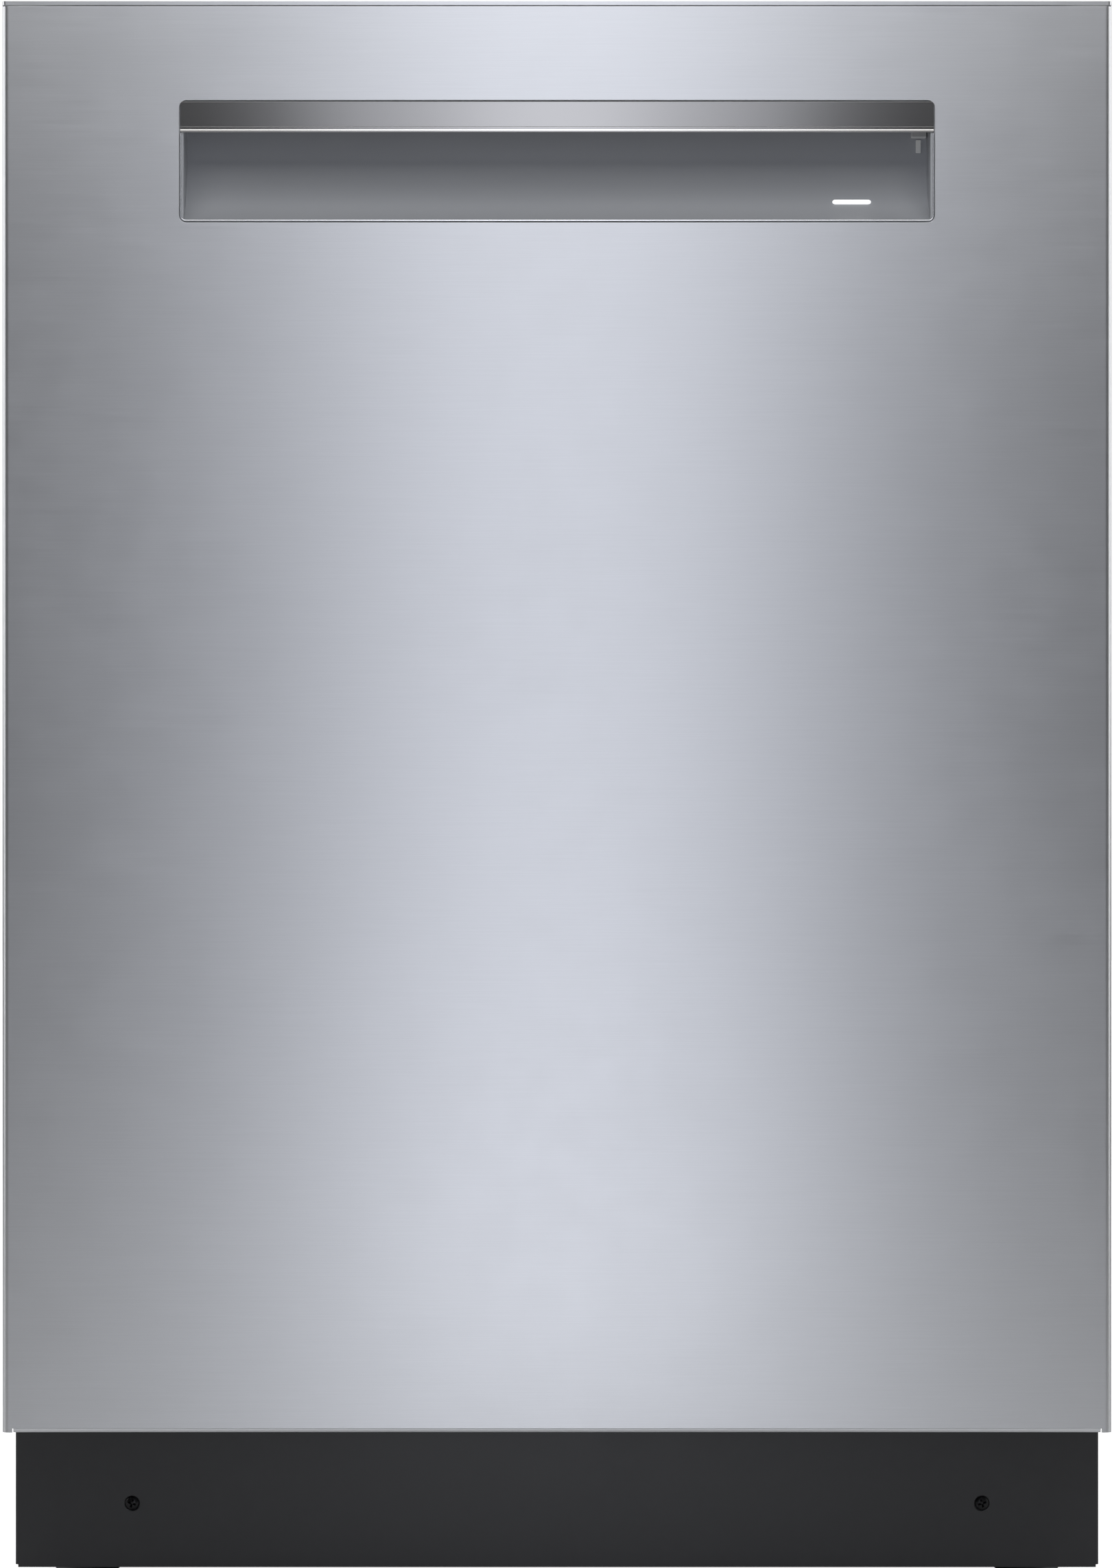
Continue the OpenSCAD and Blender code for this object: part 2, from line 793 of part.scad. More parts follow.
module latch_body() {
    y = [y_liner - 26, y_liner - 2];
    color("dimgray") difference() {
        span([-latch_x, latch_x], y, latch_z);
        span([-strike_w - 3, strike_w + 3], [y[0] + 3, y[1] + 1], [latch_z[0] + 3, latch_z[1] + 1]);
        along_x([-strike_w - 9, strike_w + 9], y[0] + 7, hook_z, 2 + fit);
    }
}

module latch_hook() {
    y = y_liner - 19;
    color("silver") {
        along_x([-strike_w - 8, strike_w + 8], y, hook_z, 2);
        push_x([-3, 3]) {
            translate([y - 1.9, hook_z - 1]) square([3.8, 6]);
            translate([y - 1.5, hook_z - 6]) square([14, 3.6]);
            translate([y - 1.5, hook_z - 6]) square([3, 8]);
            translate([y + 9.5, strike_z[1] + 0.4]) square([2.4, hook_z - 4 - strike_z[1]]);
        }
    }
}

module hinge_arms() {
    plate = [base_x - 5.4, base_x - 2];
    tip = [hinge_y + lever[0], hinge_z + lever[1]];
    color("gray") both() push_x(plate) difference() {
        union() {
            translate([hinge_y, hinge_z]) circle(11);
            translate([y_liner - arm_in[0], hinge_z]) square([arm_in[0] - arm_in[1], 200]);
            translate([hinge_y, hinge_z + lever[1] - 5]) square([lever[0], 10]);
            translate(tip) circle(5);
        }
        translate([hinge_y, hinge_z]) circle(pin_r + fit);
        translate(tip) circle(2.5);
    }
}

module key(x) {
    color([0.2, 0.2, 0.22]) {
        translate([0, 0, fascia_z0 - 3]) linear_extrude(fascia_t + 3) button_outline(x, 0);
        along_z(x, button_y, [body_h - button_foot - 10.6, fascia_z0 - 3], 3);
    }
}

module power_button() key(button_x[0]);
module cycle_button() key(button_x[1]);
module option_button() key(button_x[2]);
module start_button() key(button_x[3]);

// ---- Racks ----

// Wire basket: a floor of two crossed layers, uprights on all sides and two frames.
// x is its half width, z its floor, h its height, and n the wires along x, y and up the sides
module wire_basket(x, z, h, nx, ny) {
    y = [rack_y0, rack_y1];
    in = 3;
    out = wire_r + frame_r + seam;
    top = z + h;
    for (i = steps(-x + 22, x - 22, nx)) along_y(i, [y[0] + in, y[1] - in], z, wire_r);
    for (j = steps(y[0] + 24, y[1] - 24, ny)) along_x([-x + in, x - in], j, z + layer, wire_r);
    for (j = steps(y[0] + 24, y[1] - 24, ny)) both() along_z(x, j, [z, top], wire_r);
    for (i = steps(-x + 22, x - 22, nx), j = y) along_z(i, j, [z, top], wire_r);
    for (k = [z + 0.42 * h, top - 3]) {
        both() along_y(x + out, [y[0] - in, y[1] + in], k, frame_r);
        for (s = [0, 1]) along_x([-x - out, x + out], y[s] + (2 * s - 1) * out,
            k + 2 * frame_r + seam, frame_r);
    }
}

module lower_rack() {
    color("lightsteelblue") {
        wire_basket(lower_x, lower_z, lower_rack_h, 8, 7);
        both() for (y = wheel_y) {
            span([lower_x + 8, lower_x + 10.5], [y - 12, y + 12], [wheel_z - 9, lower_z + 20]);
            along_x([lower_x + 10.5 + seam, lower_x + wheel_gap + wheel_w + 0.6], y, wheel_z, stud_r);
            along_x([lower_x + wheel_gap + wheel_w + 0.6 + seam,
                lower_x + wheel_gap + wheel_w + stud_head], y, wheel_z, stud_r + 3);
        }
        for (x = steps(-200, -40, 5))
            along_z(x, hub_y + 90, [lower_z + layer + wire_r + seam, lower_z + 70], tine_r);
    }
}

module wheel_pair(y) {
    color([0.45, 0.47, 0.5]) both() difference() {
        along_x([lower_x + wheel_gap, lower_x + wheel_gap + wheel_w], y, wheel_z, wheel_r);
        along_x([lower_x, lower_x + wheel_gap + wheel_w + 1], y, wheel_z, stud_r + fit);
    }
}

module wheels_front() wheel_pair(wheel_y[0]);
module wheels_rear() wheel_pair(wheel_y[1]);

module folding_tines() {
    y = hub_y - 40;
    z = lower_z + layer + 2 * wire_r + 0.6;
    color("lightsteelblue") {
        along_x([-212, 100], y, z, wire_r);
        for (x = steps(-200, 88, 9)) along_z(x, y, [z + wire_r + seam, z + 64], tine_r);
    }
}

module cutlery_basket() {
    x = [cutlery_x, cutlery_x + cutlery[0]];
    y = [cutlery_y, cutlery_y + cutlery[1]];
    z0 = lower_z + layer + wire_r + 0.5;
    z = [z0 + cutlery_t + seam, z0 + cutlery[2]];
    t = cutlery_t;
    color([0.5, 0.52, 0.55]) {
        span(x, y, [z0, z0 + t]);
        for (i = [0, 1]) span([x[i] - i * t, x[i] + (1 - i) * t], y, z);
        for (j = [0 : 4]) let (at = y[0] + j * (cutlery[1] - t) / 4)
            span([x[0] + t + seam, x[1] - t - seam], [at, at + t], z);
        for (j = [0, 1]) along_z(x[0] + cutlery[0] / 2, y[0] + 100 + 160 * j,
            [z[1] + 0.5, z[1] + 26], 3);
        along_y(x[0] + cutlery[0] / 2, [y[0] + 92, y[0] + 268], z[1] + 29.6, 3.5);
    }
}

module slide_middles() {
    inner = tub_in - seam - 2 * slide_t - 1 - slide_gap;
    color("silver") rail_bar(inner, slide_t, [slide_z[0] + 2, slide_z[1] - 2],
        [tub_y0 + 20, tub_y1 - 40]);
}

module slide_inners() {
    inner = tub_in - seam - 3 * slide_t - 1 - 2 * slide_gap;
    y = [tub_y0 + 22, tub_y1 - 44];
    color("silver") {
        rail_bar(inner, slide_t, [slide_z[0] + 4, slide_z[1] - 4], y);
        for (j = [rack_y0 + 90, rack_y1 - 90])
            rail_bar(upper_x + 10.6, inner - seam - upper_x - 10.6,
                [slide_z[0] - 6, slide_z[1] + 14], [j - 14, j + 14]);
    }
}

module upper_rack() {
    color("lightsteelblue") {
        wire_basket(upper_x, upper_z, upper_rack_h, 8, 7);
        for (x = steps(-180, 180, 7))
            along_z(x, hub_y + 40, [upper_z + layer + wire_r + seam, upper_z + 58], tine_r);
        along_y(0, [hub_y, rack_y1 - 3], upper_z - wire_r - 9.2, 7);
        along_z(0, hub_y, [upper_z - 26.5, upper_z - wire_r - 9.2 - 7 - seam], 8);
        along_z(0, hub_y, [upper_z - 48, upper_z - 26.5 - seam], 8);
    }
}

module cup_shelf() {
    z = shelf_z;
    x = -upper_x + 7;
    color([0.55, 0.57, 0.6]) {
        along_y(x, shelf_y, z, 2.2);
        for (y = steps(shelf_y[0] + 8, shelf_y[1] - 8, 6))
            along_x([x + 2.3, x + shelf_w], y, z, 1.6);
        along_y(x + shelf_w + 1.7, shelf_y, z, 1.6);
    }
}

module arm(length, z, bore) {
    color([0.3, 0.31, 0.33]) difference() {
        union() {
            for (a = [0, 180]) rotate([0, 0, a]) {
                span([0, length - arm_w / 2], [-arm_w / 2, arm_w / 2], [z, z + arm_t]);
                translate([length - arm_w / 2, 0, z]) cylinder(r = arm_w / 2, h = arm_t);
            }
            translate([0, 0, z]) cylinder(r = arm_w / 2 + 5, h = arm_t);
        }
        translate([0, 0, z - 1]) cylinder(r = bore, h = arm_t + 2);
    }
}

module middle_arm() translate([0, hub_y, 0]) arm(middle_arm_l, upper_z - 44, 8 + fit);

module third_rack() {
    y = [rack_y0 + 4, rack_y1 - 12];
    z = third_z;
    x = third_x - 6;
    top = z + third_rack_h;
    color("lightsteelblue") {
        for (i = steps(-x + 16, x - 16, 9)) along_y(i, y, z, wire_r);
        for (j = steps(y[0] + 18, y[1] - 18, 6)) along_x([-x + 2, x - 2], j, z + layer, wire_r);
        for (j = steps(y[0] + 18, y[1] - 18, 6)) both() along_z(x, j, [z, top], wire_r);
        for (i = steps(-x + 16, x - 16, 9), j = y) along_z(i, j, [z + 2.2, top], wire_r);
        both() along_y(x + wire_r + frame_r + seam - 9, y, top + frame_r, frame_r);
        both() span([third_x + 3, tub_in - slide_t - 1 - seam - slide_gap], [y[0], y[1]],
            [z + 4, z + 18]);
    }
}

module lower_arm() translate([0, hub_y, 0]) arm(lower_arm_l, tub_floor_z + 22, 9 + fit);

module float_cap() {
    z = tub_floor_z + tub_t + 1;
    color("white") {
        along_z(200, tub_y0 + 44, [z, z + 14], 16);
        along_z(200, tub_y0 + 44, [z + 14, z + 20], 11);
    }
}

base_pan();
tub_wrapper();
tub_back_wall();
tub_floor();
door_seal();
sound_blanket();
top_brackets();
kick_plate();
kick_screws();
hinge_brackets();
door_springs();
spring_rods();
junction_box();
inlet_valve();
drain_spigot();
sump();
circulation_pump();
drain_pump();
internal_hoses();
filter_plate();
filter_cup();
lower_arm_hub();
feed_tube();
slide_rails();
door_strike();
foot_front_left();
foot_front_right();
feet_rear();
outer_panel();
handle_bar();
handle_pocket();
status_light();
control_fascia();
display_window();
inner_liner();
door_insulation();
control_board();
dispenser_body();
dispenser_lid();
rinse_aid_cap();
latch_body();
latch_hook();
hinge_arms();
power_button();
cycle_button();
option_button();
start_button();
lower_rack();
wheels_front();
wheels_rear();
folding_tines();
cutlery_basket();
slide_middles();
slide_inners();
upper_rack();
cup_shelf();
middle_arm();
third_rack();
lower_arm();
float_cap();
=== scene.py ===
import json
import math

import bmesh
import bpy
import mathutils
import numpy as np
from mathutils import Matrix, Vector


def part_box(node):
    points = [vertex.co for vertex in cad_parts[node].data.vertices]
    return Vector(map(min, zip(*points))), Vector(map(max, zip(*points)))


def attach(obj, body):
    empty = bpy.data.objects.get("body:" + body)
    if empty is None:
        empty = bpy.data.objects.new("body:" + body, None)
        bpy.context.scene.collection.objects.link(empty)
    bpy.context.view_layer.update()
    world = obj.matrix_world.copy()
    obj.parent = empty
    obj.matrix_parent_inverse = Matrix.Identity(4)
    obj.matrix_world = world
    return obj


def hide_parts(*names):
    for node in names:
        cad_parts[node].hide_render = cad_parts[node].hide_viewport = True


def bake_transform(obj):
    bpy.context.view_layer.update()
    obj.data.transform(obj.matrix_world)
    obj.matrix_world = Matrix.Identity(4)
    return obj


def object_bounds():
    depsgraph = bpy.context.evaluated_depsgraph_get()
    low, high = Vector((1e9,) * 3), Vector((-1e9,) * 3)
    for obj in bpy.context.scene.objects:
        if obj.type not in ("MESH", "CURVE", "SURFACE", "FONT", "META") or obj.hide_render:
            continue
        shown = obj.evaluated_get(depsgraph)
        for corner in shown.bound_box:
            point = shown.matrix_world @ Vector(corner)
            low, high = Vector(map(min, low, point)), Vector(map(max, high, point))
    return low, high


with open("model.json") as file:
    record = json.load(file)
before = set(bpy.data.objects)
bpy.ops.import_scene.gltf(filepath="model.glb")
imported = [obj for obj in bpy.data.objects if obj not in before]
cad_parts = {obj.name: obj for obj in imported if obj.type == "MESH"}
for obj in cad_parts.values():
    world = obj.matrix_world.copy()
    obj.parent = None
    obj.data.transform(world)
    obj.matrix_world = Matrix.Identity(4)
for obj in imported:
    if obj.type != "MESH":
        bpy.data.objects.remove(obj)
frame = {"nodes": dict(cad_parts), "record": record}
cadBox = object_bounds()
nodes = frame["nodes"]
boxLow, boxHigh = (np.array(v, float) for v in cadBox)
mm = 0.001
faceY = boxLow[1]  # the door's outer face
print("frame loaded", [round(float(v), 4) for v in (*boxLow, *boxHigh)])

# camera: straight on, with the long side of its frame tall enough for the whole front
view = {"distance": 3.4, "height": 0.4384, "tall": 0.8445, "sensor": 36.0}


def makeCamera():
    # level, on the machine's middle line
    data = bpy.data.cameras.new("camera")
    data.sensor_width = view["sensor"]
    data.lens = view["sensor"] * view["distance"] / view["tall"]  # long side of the frame
    data.clip_start = 0.05
    camera = bpy.data.objects.new("camera", data)
    camera.location = (0, faceY - view["distance"], view["height"])
    camera.rotation_euler = (math.radians(90), 0, 0)
    bpy.context.collection.objects.link(camera)
    bpy.context.scene.camera = camera


makeCamera()
bpy.context.scene.view_settings.view_transform = "Standard"


def quadGrid(rows, columns, wrapRows=False, wrapColumns=False):
    # faces of a grid of rows by columns points, row after row, as an array of four indices
    r = np.arange(rows if wrapRows else rows - 1)
    c = np.arange(columns if wrapColumns else columns - 1)
    r, c = np.meshgrid(r, c, indexing="ij")
    r2, c2 = (r + 1) % rows, (c + 1) % columns
    return np.stack([r * columns + c, r * columns + c2, r2 * columns + c2, r2 * columns + c], -1).reshape(-1, 4)


def joined(parts):
    # one list of points and one of faces from several (points, faces) pairs
    points, faces, base = [], [], 0
    for p, f in parts:
        p = np.asarray(p, float).reshape(-1, 3)
        points.append(p)
        faces += [[int(i) + base for i in face] for face in f]
        base += len(p)
    return np.concatenate(points), faces


def linked(name, data):
    # an object at the origin that carries a mesh
    thing = bpy.data.objects.new(name, data)
    bpy.context.collection.objects.link(thing)
    return thing


def barePiece(name, parts):
    # a mesh object from (points, faces) parts, as they are
    points, faces = joined(parts)
    data = bpy.data.meshes.new(name)
    data.from_pydata(points.tolist(), [], faces)
    return linked(name, data)


def weld(data, distance=1e-6, flatten=0.0, outward=True):
    # points that lie together are merged, flats that bend less than an angle become one face, and faces turn
    # outwards
    mesh = bmesh.new()
    mesh.from_mesh(data)
    if distance:
        bmesh.ops.remove_doubles(mesh, verts=mesh.verts, dist=distance)
    if flatten:
        bmesh.ops.dissolve_limit(mesh, angle_limit=math.radians(flatten), verts=mesh.verts, edges=mesh.edges)
    if outward:
        bmesh.ops.recalc_face_normals(mesh, faces=mesh.faces)
    mesh.to_mesh(data)
    mesh.free()


def finishPiece(piece, material, body, replaces=(), smooth=35, bevel=0, fix=True, even=False):
    # cleans the mesh, shades it smooth up to an angle in degrees, rounds its edges and hides the nodes it stands
    # for
    data = piece.data
    weld(data, outward=fix)
    data.materials.clear()
    data.materials.append(material)
    if bevel:
        m = piece.modifiers.new("bevel", "BEVEL")
        m.width, m.segments, m.limit_method = bevel, 2, "ANGLE"
        m.angle_limit = math.radians(40)
    if bevel or even:
        w = piece.modifiers.new("evenShade", "WEIGHTED_NORMAL")  # keeps big flats flat beside round edges
        w.keep_sharp = True
    data.shade_smooth()
    data.set_sharp_from_angle(angle=math.radians(smooth if not bevel else 60))
    if body:
        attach(piece, body)
    if replaces:
        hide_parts(*replaces)
    return piece


def makePiece(name, parts, material, body, replaces=(), smooth=35, bevel=0):
    return finishPiece(barePiece(name, parts), material, body, replaces, smooth, bevel)


def softened(node, name, material, bevel):
    # the CAD node's shape with its flats merged and its sharp edges rounded, bevel in millimetres
    data = nodes[node].data.copy()
    data.name = name
    weld(data, 2e-6, 0.6, outward=False)
    return finishPiece(linked(name, data), material, bodyOf[node], [node], 35, bevel * mm, fix=False)


bodyOf = {n: b for b, group in frame["record"]["behaviour"]["bodies"].items() for n in group}


def prism(outline, start, stop, axis):
    # a closed outline (n, 2) pushed from start to stop along an axis: the flat coordinates are the other two axes
    # in order
    outline = np.asarray(outline, float)
    n = len(outline)
    others = [i for i in range(3) if i != axis]
    points = np.zeros((2 * n, 3))
    for k, at in enumerate((start, stop)):
        points[k * n:(k + 1) * n, others] = outline
        points[k * n:(k + 1) * n, axis] = at
    sides = [[i, (i + 1) % n, n + (i + 1) % n, n + i] for i in range(n)]
    return points, sides + [list(range(n))[::-1], list(range(n, 2 * n))]


def block(x, y, z):
    # a box between pairs of coordinates
    return prism([(x[0], y[0]), (x[1], y[0]), (x[1], y[1]), (x[0], y[1])], z[0], z[1], 2)


def mirrored(part):
    # the same shape on the other side of the machine, with its faces turned back outwards
    points, faces = part
    return np.asarray(points) * (-1, 1, 1), [list(f)[::-1] for f in faces]


def arc(centre, radius, start, stop, count=8):
    # points on a circle between two angles in degrees
    a = np.radians(np.linspace(start, stop, count))
    return np.stack([centre[0] + radius * np.cos(a), centre[1] + radius * np.sin(a)], -1)


def roundRect(x, z, radius, count=8):
    # closed outline of a rectangle with round corners, anticlockwise from its lower right
    r = radius
    return np.concatenate([
        arc((x[1] - r, z[0] + r), r, -90, 0, count), arc((x[1] - r, z[1] - r), r, 0, 90, count),
        arc((x[0] + r, z[1] - r), r, 90, 180, count), arc((x[0] + r, z[0] + r), r, 180, 270, count)])


def filleted(points, radius, closed=False, count=5):
    # a 3-D polyline whose corners are replaced by quadratic curves that start a radius before each corner
    points = np.asarray(points, float)
    n = len(points)
    out = []
    t = np.linspace(0, 1, count)[:, None]
    for i in range(n):
        if not closed and i in (0, n - 1):
            out.append(points[i][None])
            continue
        a, b, c = points[i - 1], points[i], points[(i + 1) % n]
        ra = min(radius, np.linalg.norm(a - b) * 0.48)
        rc = min(radius, np.linalg.norm(c - b) * 0.48)
        p = b + (a - b) / np.linalg.norm(a - b) * ra
        q = b + (c - b) / np.linalg.norm(c - b) * rc
        out.append((1 - t) ** 2 * p + 2 * t * (1 - t) * b + t ** 2 * q)
    return np.concatenate(out)


def tube(path, radius, sides=8, closed=False):
    # a round section carried along a path by turning each frame as little as it can; radius may change along it
    path = np.asarray(path, float)
    n = len(path)
    radius = np.broadcast_to(np.asarray(radius, float), (n,))
    ahead = np.roll(path, -1, 0) - path
    if not closed:
        ahead[-1] = ahead[-2]
    behind = np.roll(ahead, 1, 0)
    if not closed:
        behind[0] = ahead[0]
    tangent = ahead / np.linalg.norm(ahead, axis=1)[:, None] + behind / np.linalg.norm(behind, axis=1)[:, None]
    tangent /= np.linalg.norm(tangent, axis=1)[:, None]
    up = np.eye(3)[np.argmin(np.abs(tangent[0]))]
    frames = np.zeros((n, 3))
    frames[0] = up - tangent[0] * (up @ tangent[0])
    for i in range(1, n):
        frames[i] = frames[i - 1] - tangent[i] * (frames[i - 1] @ tangent[i])
    frames /= np.linalg.norm(frames, axis=1)[:, None]
    other = np.cross(tangent, frames)
    if closed:
        a = np.arctan2(frames[0] @ other[-1], frames[0] @ frames[-1]) * np.arange(n) / n
        frames, other = (frames * np.cos(a)[:, None] + other * np.sin(a)[:, None],
                         other * np.cos(a)[:, None] - frames * np.sin(a)[:, None])
    t = np.linspace(0, 2 * np.pi, sides, endpoint=False)
    ring = frames[:, None] * np.cos(t)[None, :, None] + other[:, None] * np.sin(t)[None, :, None]
    points = (path[:, None] + ring * radius[:, None, None]).reshape(-1, 3)
    faces = [list(f) for f in quadGrid(n, sides, closed, True)]
    if not closed:
        faces += [list(range(sides))[::-1], list(range((n - 1) * sides, n * sides))]
    return points, faces


def turned(profile, centre, axis=2, sides=32):
    # a closed (radius, along) outline turned about an axis through centre
    profile = np.asarray(profile, float)
    t = np.linspace(0, 2 * np.pi, sides, endpoint=False)
    a, b = [(1, 2), (2, 0), (0, 1)][axis]
    points = np.zeros((len(profile), sides, 3))
    points[:, :, axis] = profile[:, 1][:, None]
    points[:, :, a] = profile[:, 0][:, None] * np.cos(t)
    points[:, :, b] = profile[:, 0][:, None] * np.sin(t)
    points = points.reshape(-1, 3) + np.asarray(centre)
    return points, [list(f) for f in quadGrid(len(profile), sides, True, True)]


def turnedSolid(profile, centre, axis=2, sides=32):
    # an open (radius, along) profile turned about an axis, with its two ends closed by flat discs
    points, faces = turned(profile, centre, axis, sides)
    n = len(profile)
    faces = [f for f in faces if not (min(f) < sides and max(f) >= (n - 1) * sides)]
    return points, faces + [list(range(sides)), list(range((n - 1) * sides, n * sides))[::-1]]


def loopSkin(loops):
    # closed loops of equal length joined one to the next, with flat caps
    loops = [np.asarray(v, float) for v in loops]
    n = len(loops[0])
    faces = [list(f) for f in quadGrid(len(loops), n, False, True)]
    faces += [list(range(n))[::-1], list(range((len(loops) - 1) * n, len(loops) * n))]
    return np.concatenate(loops), faces


def flatLoop(outline, y):
    # a closed (x, z) outline stood up at one depth
    return np.stack([outline[:, 0], np.full(len(outline), y), outline[:, 1]], -1)


def cut(piece, parts):
    # takes closed shapes away from a piece with the exact boolean, and applies it
    tool = barePiece("cutter", parts)
    weld(tool.data, 0)
    m = piece.modifiers.new("cut", "BOOLEAN")
    m.object, m.operation, m.solver = tool, "DIFFERENCE", "EXACT"
    graph = bpy.context.evaluated_depsgraph_get()
    result = bpy.data.meshes.new_from_object(piece.evaluated_get(graph))
    piece.modifiers.clear()
    piece.data = result
    bpy.data.objects.remove(tool)
    return piece


def rawPiece(name, parts):
    # a clean mesh object that is still to be cut
    piece = barePiece(name, parts)
    weld(piece.data)
    return piece


# shader groups: effects that several materials share
def shaderGroup(name, inputs, outputs):
    tree = bpy.data.node_groups.new(name, "ShaderNodeTree")
    kinds = {"vector": "NodeSocketVector", "value": "NodeSocketFloat", "colour": "NodeSocketColor"}
    for label, (kind, value) in inputs.items():
        s = tree.interface.new_socket(name=label, in_out="INPUT", socket_type=kinds[kind])
        if kind == "value":
            s.default_value = value
    for label, kind in outputs.items():
        tree.interface.new_socket(name=label, in_out="OUTPUT", socket_type=kinds[kind])
    return tree, tree.nodes.new("NodeGroupInput"), tree.nodes.new("NodeGroupOutput")


def mathNode(tree, operation, a, b=None, clamp=False):
    # a and b are numbers or sockets
    node = tree.nodes.new("ShaderNodeMath")
    node.operation, node.use_clamp = operation, clamp
    for i, v in enumerate((a, b)):
        if v is None:
            continue
        if isinstance(v, (int, float)):
            node.inputs[i].default_value = v
        else:
            tree.links.new(v, node.inputs[i])
    return node.outputs[0]


def noiseNode(tree, vector, scale, detail=2.0, rough=0.5):
    node = tree.nodes.new("ShaderNodeTexNoise")
    node.inputs["Detail"].default_value = detail
    node.inputs["Roughness"].default_value = rough
    tree.links.new(vector, node.inputs["Vector"])
    if isinstance(scale, (int, float)):
        node.inputs["Scale"].default_value = scale
    else:
        tree.links.new(scale, node.inputs["Scale"])
    return node.outputs["Fac"]


def brushGroup():
    # streaks: noise whose coordinates are squeezed along the brushing (X) and stretched across it (Z)
    tree, gin, gout = shaderGroup("brushLines",
        {"Vector": ("vector", 0), "Along": ("value", 30), "Across": ("value", 2600), "Contrast": ("value", 1)},
        {"Streak": "value"})
    mix = tree.nodes.new("ShaderNodeCombineXYZ")
    for i, socket in enumerate((gin.outputs["Along"], gin.outputs["Across"], gin.outputs["Across"])):
        tree.links.new(socket, mix.inputs[i])
    scaled = tree.nodes.new("ShaderNodeVectorMath")
    scaled.operation = "MULTIPLY"
    tree.links.new(gin.outputs["Vector"], scaled.inputs[0])
    tree.links.new(mix.outputs[0], scaled.inputs[1])
    fine = noiseNode(tree, scaled.outputs[0], 1.0, 3.0, 0.65)
    centred = mathNode(tree, "SUBTRACT", fine, 0.5)
    strong = mathNode(tree, "MULTIPLY", centred, gin.outputs["Contrast"])
    tree.links.new(mathNode(tree, "ADD", strong, 0.5, True), gout.inputs["Streak"])
    return tree


def wearGroup():
    # handling marks: two noises multiplied, so that they come in loose patches
    tree, gin, gout = shaderGroup("handlingMarks",
        {"Vector": ("vector", 0), "Scale": ("value", 20), "Amount": ("value", 0.5)}, {"Mask": "value"})
    broad = noiseNode(tree, gin.outputs["Vector"], gin.outputs["Scale"], 3.0, 0.6)
    small = noiseNode(tree, gin.outputs["Vector"], mathNode(tree, "MULTIPLY", gin.outputs["Scale"], 7.3), 4.0, 0.7)
    both = mathNode(tree, "MULTIPLY", broad, small)
    lifted = mathNode(tree, "MULTIPLY", mathNode(tree, "SUBTRACT", both, 0.18, True), 5.0, True)
    tree.links.new(mathNode(tree, "MULTIPLY", lifted, gin.outputs["Amount"]), gout.inputs["Mask"])
    return tree


def mouldGroup():
    # spark-eroded mould texture: small cells broken up by a finer noise
    tree, gin, gout = shaderGroup("mouldGrain",
        {"Vector": ("vector", 0), "Scale": ("value", 1500)}, {"Height": "value"})
    cells = tree.nodes.new("ShaderNodeTexVoronoi")
    tree.links.new(gin.outputs["Vector"], cells.inputs["Vector"])
    tree.links.new(gin.outputs["Scale"], cells.inputs["Scale"])
    fine = noiseNode(tree, gin.outputs["Vector"], mathNode(tree, "MULTIPLY", gin.outputs["Scale"], 1.7), 3.0)
    tree.links.new(mathNode(tree, "ADD", cells.outputs["Distance"], fine), gout.inputs["Height"])
    return tree


def dustGroup():
    # dust that settles on faces that look up, broken up by noise
    tree, gin, gout = shaderGroup("settledDust",
        {"Vector": ("vector", 0), "Amount": ("value", 0.3)}, {"Mask": "value"})
    geometry = tree.nodes.new("ShaderNodeNewGeometry")
    split = tree.nodes.new("ShaderNodeSeparateXYZ")
    tree.links.new(geometry.outputs["Normal"], split.inputs[0])
    up = mathNode(tree, "POWER", mathNode(tree, "MAXIMUM", split.outputs["Z"], 0.0), 3.0)
    speckle = noiseNode(tree, gin.outputs["Vector"], 90.0, 5.0, 0.7)
    tree.links.new(mathNode(tree, "MULTIPLY", mathNode(tree, "MULTIPLY", up, speckle),
                            gin.outputs["Amount"], True), gout.inputs["Mask"])
    return tree


groups = {"brush": brushGroup(), "wear": wearGroup(), "mould": mouldGroup(), "dust": dustGroup()}


